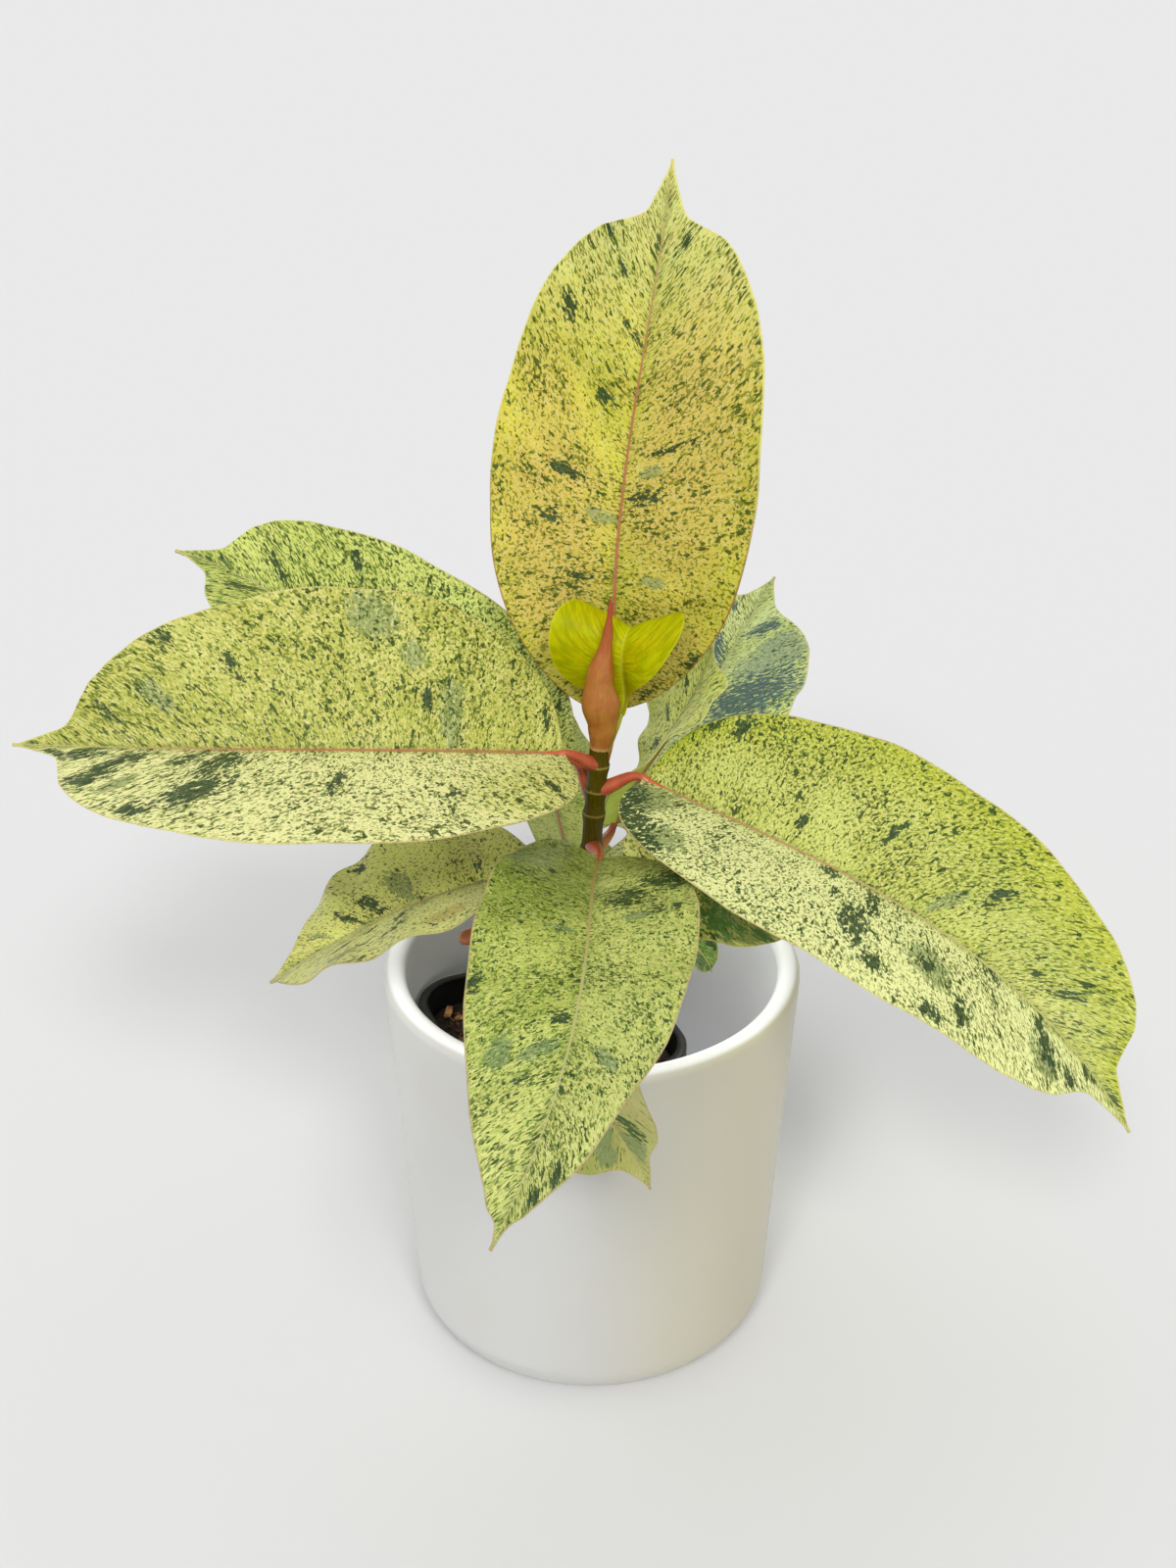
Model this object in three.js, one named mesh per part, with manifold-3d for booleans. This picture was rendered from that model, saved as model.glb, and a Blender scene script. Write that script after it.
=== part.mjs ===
// A young rubber plant with pale speckled leaves, in its black nursery pot inside a white ceramic cover pot.
// Lengths are millimetres, angles are degrees, +Z is up and the front is -Y.
// The origin is the middle of the cover pot's underside.
import * as THREE from 'three';
import { mergeVertices } from 'three/addons/utils/BufferGeometryUtils.js';
import Module from 'manifold-3d';

const wasm = await Module();
wasm.setup();

// Driving dimensions

// Space left between pieces that touch on the real plant
const gap = 0.3;

const coverPot = {
  height: 160, rimRadius: 80, baseRadius: 72, footRound: 12,
  wall: 8.7, wallAtFloor: 7, floor: 9, innerRound: 10, rimRound: 4, roundSteps: 3, sides: 48,
};

const nurseryPot = {
  centre: [-16, -6], turn: 21, rimHeight: 134, rimHalf: 45, rimCorner: 20,
  baseHalf: 32, baseCorner: 15, wall: 1.6, floor: 2.4, lipDepth: 9, lipStep: 1.6, lipEdge: 1,
  drainRadius: 4, drainReach: 22, drainSides: 12, cornerSteps: 5,
};

// The potting mix, its uneven top and the bark chips sunk in it
const soil = {
  top: 123, bump: 0.9, bumpTurns: [0.31, 0.27, 0.12, 0.19], rings: 5, shoulder: 4, hubShare: 0.03,
  chips: 11, chipSize: [13, 7, 4], chipVariation: 0.6, chipTilt: 0.6,
  chipSpread: 33, chipTurn: 2.4, chipLift: 0.3,
};

// The stem's middle line, from its foot in the soil to the root of the sheath
const stem = {
  line: [[-2, 1, 62], [-1.5, 0.5, 118], [-0.6, 0, 170], [0, 0, 208], [2.2, 0, 240], [2.8, 0, 249]],
  footRadius: 4.7, topRadius: 3.5, ringSwell: 0.6, ringLength: 2.4, ringDrop: 1, step: 6, sides: 10,
};

// The pointed sheath's middle line with its radius there, as [x, y, z, radius]
const sheath = {
  line: [
    [2.9, 0, 249.45, 3.9], [3.8, -0.3, 258, 5.4], [3.1, -0.5, 267, 7], [2.8, -0.4, 277, 5.1],
    [5.6, 0.6, 294, 2], [6.8, 1.2, 305, 0.9], [6.8, 1.5, 311, 0.4],
  ],
  steps: 14, sides: 10, flatten: 0.9,
};

// Leaf stalks: they leave the stem thick and level, and meet the blade thin and along its midrib
const petiole = {
  radius: 2.2, footRadius: 3, footShare: 0.4, outPull: 0.4, upPull: 0.1, bladePull: 0.35, steps: 7, sides: 8,
};

// The stalk of a leaf that has been cut off, low on the left
const stub = { node: 186, end: [-50, -8, 172], radius: 2.4 };

// Blade shape shared by every leaf; a leaf narrower than fullHalf has its tip, rib and stalk scaled down
const blade = {
  thick: 1.1, edgeThick: 0.7, ribDepth: 2.4, ribShare: 0.06, arch: 0.07, fullHalf: 40, calmHalf: 12,
  tipShare: 0.14, tipHalf: 7.5, tipPower: 0.9, tipOverlap: 0.55, blend: 4, startHalf: 2, endHalf: 0.5,
  phasePerLeaf: 1.7, phaseAcross: 2,
};

// Shares of a blade's length and half width at which its surface is laid out
const alongStations = [
  0, 0.012, 0.04, 0.085, 0.14, 0.21, 0.29, 0.37, 0.45, 0.53,
  0.61, 0.69, 0.76, 0.82, 0.87, 0.91, 0.94, 0.97, 1,
];
const acrossStations = [-1, -0.6, -blade.ribShare, 0, blade.ribShare, 0.6, 1];

// One line a leaf: node is the height where its stalk leaves the stem, and base is where its blade begins.
// turn and rise give the midrib's heading at the base, the middle and the tip, and roll its bank at the ends.
// fold lifts each half from flat, widest is the share of the length where the blade is broadest,
// and wave is the height and the number of the margin's waves.
const leaves = [
  { name: 'crown', node: 240, base: [8, 24, 253], turn: [90, 58, 66],
    rise: [98, 75, 76], roll: [4, -6], length: 199, half: 55, fold: 8, widest: 0.51, wave: [0.8, 4] },
  { name: 'left', node: 243, base: [-10, -8, 251], turn: [201, 183, 175],
    rise: [12, 2, 0], roll: [-20, -26], length: 196, half: 65, fold: 24, widest: 0.39, wave: [0.8, 4] },
  { name: 'right', node: 234, base: [19, -4, 239], turn: [-32, -32, -45],
    rise: [-11, -18, -49], roll: [10, 19], length: 213, half: 56, fold: 21, widest: 0.36, wave: [1, 4] },
  { name: 'back_left', node: 228, base: [-8, 13, 238], turn: [154, 170, 165],
    rise: [0, 34, 11], roll: [-38, -13], length: 169, half: 48, fold: 18, widest: 0.45, wave: [1.2, 4] },
  { name: 'front', node: 209, base: [3, -17, 213], turn: [264, 265, 240],
    rise: [19, -3, -29], roll: [-7, 10], length: 209, half: 38, fold: 19, widest: 0.43, wave: [1.4, 5] },
  { name: 'back_right', node: 204, base: [9, 24, 206], turn: [18, 33, 52],
    rise: [76, 45, 72], roll: [-44, -19], length: 79, half: 33, fold: 10, widest: 0.45, wave: [1.2, 4] },
  { name: 'low_left', node: 194, base: [-14, -4, 199], turn: [199, 187, 171],
    rise: [11, -23, -38], roll: [3, 0], length: 120, half: 43, fold: 17, widest: 0.47, wave: [1.6, 5] },
  { name: 'low_right', node: 198, base: [13, -9, 202], turn: [-10, -20, -5],
    rise: [30, -17, -27], roll: [44, 4], length: 73, half: 31, fold: 13, widest: 0.45, wave: [1.2, 4] },
  { name: 'back', node: 181, base: [-5, 14, 184], turn: [103, 94, 87],
    rise: [3, 10, 18], roll: [30, 42], length: 160, half: 28, fold: 12, widest: 0.46, wave: [1.4, 5] },
  { name: 'far_right', node: 187, base: [10, 13, 192], turn: [68, 68, 60],
    rise: [14, 15, 24], roll: [-36, 15], length: 190, half: 42, fold: 8, widest: 0.46, wave: [1.6, 5] },
  { name: 'low_front', node: 174, base: [-1, -18, 179], turn: [256, 279, 348],
    rise: [-16, -4, -74], roll: [3, 86], length: 127, half: 31, fold: 22, widest: 0.47, wave: [1, 4] },
  { name: 'inner', node: 168, base: [14, 2, 172], turn: [-2, -10, -25],
    rise: [7, -26, -67], roll: [8, 7], length: 40, half: 12, fold: 15, widest: 0.46, wave: [0.5, 3] },
  { name: 'new', node: 246, base: [12, 5, 263], turn: [55, 62, 90],
    rise: [90, 80, -80], roll: [0, 0], length: 47, half: 24, fold: 17, widest: 0.6, wave: [0.3, 3] },
];

const colours = {
  ceramic: '#e9e8e3', plastic: '#17181a', earth: '#3a2c20', bark: '#5c5a33',
  sheath: '#c8704f', stalk: '#b9453c', leaf: '#b7c46a', newLeaf: '#c0cf3a',
};

const radians = THREE.MathUtils.degToRad;
const mix = THREE.MathUtils.lerp;
const clamp = THREE.MathUtils.clamp;

// A repeatable stream of numbers from 0 to 1
function makeRandom(seed) {
  let state = seed;
  return () => {
    state = (state * 1103515245 + 12345) % 2147483648;
    return state / 2147483648;
  };
}

// Closed body from triangles given as corner indices
function bodyFrom(points, faces) {
  const geometry = new THREE.BufferGeometry();
  const coordinates = points.flatMap((p) => p.toArray());
  geometry.setAttribute('position', new THREE.Float32BufferAttribute(coordinates, 3));
  geometry.setIndex(faces.flat());
  return geometry;
}

// Closed body through rings with equal point counts, which run counter-clockwise seen from the far end
function loft(rings) {
  const count = rings[0].length;
  const points = rings.flat();
  const faces = [];
  for (let i = 0; i < rings.length - 1; i += 1) {
    for (let j = 0; j < count; j += 1) {
      const a = i * count + j;
      const b = i * count + (j + 1) % count;
      faces.push([a, b, b + count], [a, b + count, a + count]);
    }
  }
  const last = (rings.length - 1) * count;
  for (const [start, flip] of [[0, true], [last, false]]) {
    const middle = new THREE.Vector3();
    for (let j = 0; j < count; j += 1) {
      middle.addScaledVector(points[start + j], 1 / count);
    }
    const hub = points.push(middle) - 1;
    for (let j = 0; j < count; j += 1) {
      const a = start + j;
      const b = start + (j + 1) % count;
      faces.push(flip ? [hub, b, a] : [hub, a, b]);
    }
  }
  return bodyFrom(points, faces);
}

// Round body along a curve, whose radius is a function of the share of its length.
// flatten thins it one way, and both ends are carried past the curve by reach.
function taperedTube(curve, radiusAt, { steps, sides, flatten = 1 }, reach = 0) {
  const rings = [];
  const side = new THREE.Vector3();
  const over = new THREE.Vector3();
  let reference = new THREE.Vector3(0, 1, 0);
  for (let i = 0; i <= steps; i += 1) {
    const share = i / steps;
    const middle = curve.getPointAt(share);
    const heading = curve.getTangentAt(share);
    if (i === 0 && Math.abs(heading.y) > 0.9) {
      reference = new THREE.Vector3(1, 0, 0);
    }
    side.crossVectors(reference, heading).normalize();
    over.crossVectors(heading, side);
    reference = over.clone();
    if (i === 0) {
      middle.addScaledVector(heading, -reach);
    } else if (i === steps) {
      middle.addScaledVector(heading, reach);
    }
    const radius = radiusAt(share);
    const ring = [];
    for (let j = 0; j < sides; j += 1) {
      const angle = (j / sides) * 2 * Math.PI;
      ring.push(middle.clone()
        .addScaledVector(side, radius * Math.cos(angle))
        .addScaledVector(over, radius * flatten * Math.sin(angle)));
    }
    rings.push(ring);
  }
  return loft(rings);
}

// Geometry to solid and back, for cuts and joins
function solidOf(geometry) {
  const bare = geometry.clone();
  bare.deleteAttribute('normal');
  bare.deleteAttribute('uv');
  const merged = mergeVertices(bare, 1e-4);
  const vertProperties = new Float32Array(merged.attributes.position.array);
  const triVerts = new Uint32Array(merged.index.array);
  return new wasm.Manifold(new wasm.Mesh({ numProp: 3, vertProperties, triVerts }));
}

function geometryOf(solid) {
  const mesh = solid.getMesh();
  const geometry = new THREE.BufferGeometry();
  geometry.setAttribute('position', new THREE.BufferAttribute(mesh.vertProperties, 3));
  geometry.setIndex(new THREE.BufferAttribute(mesh.triVerts, 1));
  return geometry;
}

const plant = new THREE.Group();

function addPiece(name, geometry, colour, roughness) {
  const material = new THREE.MeshStandardMaterial({ color: colour, roughness, metalness: 0 });
  const mesh = new THREE.Mesh(geometry, material);
  mesh.name = name;
  plant.add(mesh);
}

// Cover pot

function coverPotGeometry() {
  const p = coverPot;
  const profile = [];
  const arc = (x, z, radius, from, to) => {
    for (let i = 0; i <= p.roundSteps; i += 1) {
      const angle = radians(mix(from, to, i / p.roundSteps));
      profile.push(new THREE.Vector2(x + radius * Math.cos(angle), z + radius * Math.sin(angle)));
    }
  };
  profile.push(new THREE.Vector2(0, 0));
  arc(p.baseRadius - p.footRound, p.footRound, p.footRound, -90, 0);
  arc(p.rimRadius - p.rimRound, p.height - p.rimRound, p.rimRound, 0, 90);
  arc(p.rimRadius - p.wall + p.rimRound, p.height - p.rimRound, p.rimRound, 90, 180);
  arc(p.baseRadius - p.wallAtFloor - p.innerRound, p.floor + p.innerRound, p.innerRound, 0, -90);
  profile.push(new THREE.Vector2(0, p.floor));
  const lathe = new THREE.LatheGeometry(profile, p.sides);
  lathe.rotateX(Math.PI / 2);
  return lathe;
}

// Nursery pot and soil

// Rounded square ring about the nursery pot's middle
function squareRing(half, corner, height) {
  const ring = [];
  for (let k = 0; k < 4; k += 1) {
    const quarter = radians(nurseryPot.turn + 90 * k);
    const diagonal = (half - corner) * Math.SQRT2;
    const cornerX = nurseryPot.centre[0] + diagonal * Math.cos(quarter + Math.PI / 4);
    const cornerY = nurseryPot.centre[1] + diagonal * Math.sin(quarter + Math.PI / 4);
    for (let i = 0; i <= nurseryPot.cornerSteps; i += 1) {
      const angle = quarter + (i / nurseryPot.cornerSteps) * (Math.PI / 2);
      const x = cornerX + corner * Math.cos(angle);
      const y = cornerY + corner * Math.sin(angle);
      ring.push(new THREE.Vector3(x, y, height));
    }
  }
  return ring;
}

const nurseryFoot = coverPot.floor + gap;

// The tapering wall's half width and corner radius at a height, moved in by inset
function nurseryRing(height, inset) {
  const share = (height - nurseryFoot) / (nurseryPot.rimHeight - nurseryFoot);
  const half = mix(nurseryPot.baseHalf, nurseryPot.rimHalf - nurseryPot.lipStep, share);
  const corner = mix(nurseryPot.baseCorner, nurseryPot.rimCorner - nurseryPot.lipStep, share);
  return squareRing(half - inset, corner - inset, height);
}

function nurseryPotGeometry() {
  const p = nurseryPot;
  const lipFoot = p.rimHeight - p.lipDepth;
  const outer = loft([
    nurseryRing(nurseryFoot, 0),
    nurseryRing(lipFoot, 0),
    squareRing(p.rimHalf, p.rimCorner, lipFoot + p.lipStep),
    squareRing(p.rimHalf, p.rimCorner, p.rimHeight - p.lipEdge),
    squareRing(p.rimHalf - p.lipEdge, p.rimCorner - p.lipEdge, p.rimHeight),
  ]);
  const inside = loft([
    nurseryRing(nurseryFoot + p.floor, p.wall),
    nurseryRing(p.rimHeight + gap, p.wall),
  ]);
  let pot = solidOf(outer).subtract(solidOf(inside));
  for (let k = 0; k < 4; k += 1) {
    const angle = radians(p.turn + 90 * k);
    const drain = new THREE.CylinderGeometry(p.drainRadius, p.drainRadius, 3 * p.floor, p.drainSides);
    drain.rotateX(Math.PI / 2);
    drain.translate(
      p.centre[0] + p.drainReach * Math.cos(angle),
      p.centre[1] + p.drainReach * Math.sin(angle),
      nurseryFoot + p.floor / 2,
    );
    pot = pot.subtract(solidOf(drain));
  }
  return geometryOf(pot);
}

// Stem

const stemCurve = new THREE.CatmullRomCurve3(stem.line.map((p) => new THREE.Vector3(...p)));
const stemFoot = stem.line[0][2];
const stemTop = stem.line[stem.line.length - 1][2];
const nodeHeights = [...leaves.map((leaf) => leaf.node), stub.node];

// Point of the stem's middle line at a height
function stemAt(height) {
  let low = 0;
  let high = 1;
  for (let i = 0; i < 30; i += 1) {
    const middle = (low + high) / 2;
    if (stemCurve.getPointAt(middle).z < height) {
      low = middle;
    } else {
      high = middle;
    }
  }
  return stemCurve.getPointAt(low);
}

function stemRadius(height) {
  const share = (height - stemFoot) / (stemTop - stemFoot);
  const swells = nodeHeights.map((node) => {
    const away = (height - node + stem.ringDrop) / stem.ringLength;
    return Math.exp(-away * away);
  });
  return mix(stem.footRadius, stem.topRadius, share) + stem.ringSwell * Math.max(...swells);
}

// The stem, or the space it needs when extra is added all round
function stemGeometry(extra) {
  const steps = Math.round((stemTop - stemFoot) / stem.step);
  const radiusAt = (share) => stemRadius(stemCurve.getPointAt(share).z) + extra;
  return taperedTube(stemCurve, radiusAt, { steps, sides: stem.sides }, extra);
}

function soilGeometry() {
  const random = makeRandom(7);
  const inset = nurseryPot.wall + gap;
  const foot = nurseryFoot + nurseryPot.floor + gap;
  const outline = nurseryRing(soil.top, inset);
  const hub = new THREE.Vector3(nurseryPot.centre[0], nurseryPot.centre[1], soil.top);
  const [turnA, turnB, turnC, turnD] = soil.bumpTurns;
  const topRings = [];
  for (let i = soil.rings; i >= 1; i -= 1) {
    topRings.push(outline.map((p) => {
      const q = p.clone().lerp(hub, 1 - i / soil.rings);
      const lump = Math.sin(q.x * turnA) * Math.cos(q.y * turnB) + Math.sin(q.x * turnC + q.y * turnD);
      q.z = soil.top + (i < soil.rings ? soil.bump * lump : 0);
      return q;
    }));
  }
  topRings.push(outline.map((p) => p.clone().lerp(hub, 1 - soil.hubShare)));
  const shoulder = nurseryRing(soil.top - soil.shoulder, inset);
  let body = solidOf(loft([nurseryRing(foot, inset), shoulder, ...topRings]));
  for (let k = 0; k < soil.chips; k += 1) {
    const [long, wide, deep] = soil.chipSize;
    const size = 1 + soil.chipVariation * (random() - 0.5);
    const chip = new THREE.BoxGeometry(long * size, wide * size, deep * size);
    chip.rotateX((random() - 0.5) * soil.chipTilt);
    chip.rotateY((random() - 0.5) * soil.chipTilt);
    chip.rotateZ(random() * Math.PI);
    const angle = soil.chipTurn * k;
    const reach = soil.chipSpread * Math.sqrt((k + 1) / soil.chips);
    chip.translate(
      hub.x + reach * Math.cos(angle),
      hub.y + reach * Math.sin(angle),
      soil.top + soil.chipLift * deep * size,
    );
    body = body.add(solidOf(chip));
  }
  return geometryOf(body.subtract(solidOf(stemGeometry(gap))));
}

// Leaves

// Value at a share of the length on the parabola through three values at its start, middle and end
function through([a, b, c], share) {
  return a + (4 * b - 3 * a - c) * share + 2 * (a - 2 * b + c) * share * share;
}

function sizeOf(leaf) {
  return Math.min(1, leaf.half / blade.fullHalf);
}

// Half width of the blade: a rounded body and a narrow drip tip, blended
function halfWidth(leaf, share) {
  const end = 1 - blade.tipOverlap * blade.tipShare;
  const power = Math.log(0.5) / Math.log(leaf.widest / end);
  const along = clamp(share / end, 0, 1) ** power;
  const body = leaf.half * Math.sqrt(Math.max(0, 4 * along * (1 - along)));
  const tipRun = clamp((1 - share) / blade.tipShare, 0, 1);
  const tip = share > 0.5 ? sizeOf(leaf) * blade.tipHalf * tipRun ** blade.tipPower : 0;
  const least = sizeOf(leaf) * mix(blade.startHalf, blade.endHalf, share);
  return Math.max(least, (body ** blade.blend + tip ** blade.blend) ** (1 / blade.blend));
}

function headingAt(leaf, share) {
  const turn = radians(through(leaf.turn, share));
  const rise = radians(through(leaf.rise, share));
  return new THREE.Vector3(Math.cos(rise) * Math.cos(turn), Math.cos(rise) * Math.sin(turn), Math.sin(rise));
}

// Midrib points and the directions to the left and up at each station
function midribFrames(leaf) {
  const fineSteps = 8;
  const middle = new THREE.Vector3(...leaf.base);
  const frames = [];
  let last = 0;
  for (const share of alongStations) {
    const step = (share - last) / fineSteps;
    for (let i = 0; i < fineSteps; i += 1) {
      middle.addScaledVector(headingAt(leaf, last + (i + 0.5) * step), leaf.length * step);
    }
    last = share;
    const heading = headingAt(leaf, share);
    const turn = radians(through(leaf.turn, share));
    const level = new THREE.Vector3(-Math.sin(turn), Math.cos(turn), 0);
    const upright = new THREE.Vector3().crossVectors(heading, level);
    const roll = radians(mix(leaf.roll[0], leaf.roll[1], share));
    const left = level.clone().multiplyScalar(Math.cos(roll)).addScaledVector(upright, Math.sin(roll));
    const up = upright.clone().multiplyScalar(Math.cos(roll)).addScaledVector(level, -Math.sin(roll));
    frames.push({ share, middle: middle.clone(), left, up });
  }
  return frames;
}

function bladeGeometry(leaf, order) {
  const fold = radians(leaf.fold);
  const [waveHeight, waveCount] = leaf.wave;
  const rings = midribFrames(leaf).map(({ share, middle, left, up }) => {
    const half = halfWidth(leaf, share);
    const rib = Math.min(mix(blade.ribDepth, blade.ribDepth / 4, share), half);
    const calm = Math.min(1, half / blade.calmHalf);
    const topSide = [];
    const underSide = [];
    for (const across of acrossStations) {
      const far = Math.abs(across);
      const phase = order * blade.phasePerLeaf + (across > 0 ? blade.phaseAcross : 0);
      const wave = waveHeight * calm * far * far * Math.sin(2 * Math.PI * waveCount * share + phase);
      const rise = half * (far * Math.sin(fold) - far * far * blade.arch) + wave;
      const surface = middle.clone()
        .addScaledVector(left, half * across * Math.cos(fold))
        .addScaledVector(up, rise);
      const thick = mix(blade.thick, blade.edgeThick, far) + (across === 0 ? rib : 0);
      topSide.push(surface);
      underSide.push(surface.clone().addScaledVector(up, -thick));
    }
    return { topSide, underSide };
  });
  const count = acrossStations.length;
  const points = rings.flatMap((ring) => [...ring.topSide, ...ring.underSide]);
  const faces = [];
  const at = (row, side, column) => row * 2 * count + side * count + column;
  for (let row = 0; row < rings.length - 1; row += 1) {
    for (let column = 0; column < count - 1; column += 1) {
      for (const side of [0, 1]) {
        const a = at(row, side, column);
        const b = at(row, side, column + 1);
        const c = at(row + 1, side, column + 1);
        const d = at(row + 1, side, column);
        const pair = column < (count - 1) / 2 ? [[a, b, c], [a, c, d]] : [[a, b, d], [b, c, d]];
        faces.push(...(side === 0 ? pair.map(([p, q, r]) => [p, r, q]) : pair));
      }
    }
    for (const [column, flip] of [[0, false], [count - 1, true]]) {
      const a = at(row, 0, column);
      const b = at(row, 1, column);
      const c = at(row + 1, 1, column);
      const d = at(row + 1, 0, column);
      faces.push(...(flip ? [[a, c, b], [a, d, c]] : [[a, b, c], [a, c, d]]));
    }
  }
  for (const [row, flip] of [[0, false], [rings.length - 1, true]]) {
    for (let column = 0; column < count - 1; column += 1) {
      const a = at(row, 0, column);
      const b = at(row, 0, column + 1);
      const c = at(row, 1, column + 1);
      const d = at(row, 1, column);
      faces.push(...(flip ? [[a, d, c], [a, c, b]] : [[a, c, d], [a, b, c]]));
    }
  }
  return bodyFrom(points, faces);
}

// Stalk from the stem to just short of the blade, trimmed to the stem's skin
function petioleGeometry(node, end, heading, radius, fatStem) {
  const start = stemAt(node);
  const finish = end.clone().addScaledVector(heading, -gap);
  const reach = start.distanceTo(finish);
  const outward = finish.clone().sub(start).setZ(0).normalize();
  const curve = new THREE.CubicBezierCurve3(
    start,
    start.clone().addScaledVector(outward, petiole.outPull * reach).setZ(start.z + petiole.upPull * reach),
    finish.clone().addScaledVector(heading, -petiole.bladePull * reach),
    finish,
  );
  const radiusAt = (share) => mix(petiole.footRadius, radius, Math.min(1, share / petiole.footShare));
  return geometryOf(solidOf(taperedTube(curve, radiusAt, petiole)).subtract(fatStem));
}

function sheathGeometry(extra) {
  const curve = new THREE.CatmullRomCurve3(sheath.line.map(([x, y, z]) => new THREE.Vector3(x, y, z)));
  const radiusAt = (share) => {
    const { z } = curve.getPointAt(share);
    const above = clamp(sheath.line.findIndex((entry) => entry[2] > z), 1, sheath.line.length - 1);
    const [, , lowZ, lowRadius] = sheath.line[above - 1];
    const [, , highZ, highRadius] = sheath.line[above];
    return mix(lowRadius, highRadius, THREE.MathUtils.smoothstep(z, lowZ, highZ)) + extra;
  };
  return taperedTube(curve, radiusAt, sheath, extra);
}

addPiece('cover_pot', coverPotGeometry(), colours.ceramic, 0.35);
addPiece('nursery_pot', nurseryPotGeometry(), colours.plastic, 0.4);
addPiece('soil', soilGeometry(), colours.earth, 0.95);
addPiece('stem', stemGeometry(0), colours.bark, 0.6);
addPiece('sheath', sheathGeometry(0), colours.sheath, 0.45);

const fatStem = solidOf(stemGeometry(gap)).add(solidOf(sheathGeometry(gap)));
leaves.forEach((leaf, order) => {
  const base = new THREE.Vector3(...leaf.base);
  const radius = petiole.radius * Math.sqrt(sizeOf(leaf));
  const stalk = petioleGeometry(leaf.node, base, headingAt(leaf, 0), radius, fatStem);
  addPiece(`petiole_${leaf.name}`, stalk, colours.stalk, 0.45);
  const colour = leaf.name === 'new' ? colours.newLeaf : colours.leaf;
  addPiece(`blade_${leaf.name}`, bladeGeometry(leaf, order), colour, 0.4);
});

const stubEnd = new THREE.Vector3(...stub.end);
const stubHeading = stubEnd.clone().sub(stemAt(stub.node)).normalize();
const stubStalk = petioleGeometry(stub.node, stubEnd, stubHeading, stub.radius, fatStem);
addPiece('petiole_stub', stubStalk, colours.stalk, 0.45);

export default plant;
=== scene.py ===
import math

import bmesh
import bpy
import numpy as np
from mathutils import Matrix, Vector, noise


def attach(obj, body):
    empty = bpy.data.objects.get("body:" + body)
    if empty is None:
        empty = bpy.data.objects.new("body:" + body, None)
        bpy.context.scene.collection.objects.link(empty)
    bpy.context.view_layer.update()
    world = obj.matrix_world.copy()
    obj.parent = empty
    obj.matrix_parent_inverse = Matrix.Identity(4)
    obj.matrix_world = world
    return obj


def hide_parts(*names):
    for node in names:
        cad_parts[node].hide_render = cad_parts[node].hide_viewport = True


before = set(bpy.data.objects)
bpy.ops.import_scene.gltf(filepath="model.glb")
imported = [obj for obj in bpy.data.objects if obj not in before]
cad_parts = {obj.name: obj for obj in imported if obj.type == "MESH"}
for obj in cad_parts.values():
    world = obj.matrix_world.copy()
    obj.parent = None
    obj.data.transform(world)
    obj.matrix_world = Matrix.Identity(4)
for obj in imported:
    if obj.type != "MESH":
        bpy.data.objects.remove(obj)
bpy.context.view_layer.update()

# A young rubber plant with pale speckled leaves, in a black nursery pot inside a round white pot.
# Metres, +Z up, the front is -Y, and the origin is the middle of the white pot's underside.
mm = 0.001
chance = np.random.default_rng(12)

# Camera, as the photo was taken
photoView = {"lens": 45, "sensor": 36, "pitch": 27.4, "distance": 0.72, "target": (-0.0014, 0, 0.2345)}


def show(thing):
    bpy.context.scene.collection.objects.link(thing)
    return thing


pitch = math.radians(photoView["pitch"])
backAndUp = Vector((0, -math.cos(pitch), math.sin(pitch)))
cameraData = bpy.data.cameras.new("photoCamera")
cameraData.lens = photoView["lens"]
cameraData.sensor_width = photoView["sensor"]
camera = show(bpy.data.objects.new("photoCamera", cameraData))
camera.location = Vector(photoView["target"]) + photoView["distance"] * backAndUp
camera.rotation_euler = (math.pi / 2 - pitch, 0, 0)
bpy.context.scene.camera = camera
print("camera set")


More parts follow.
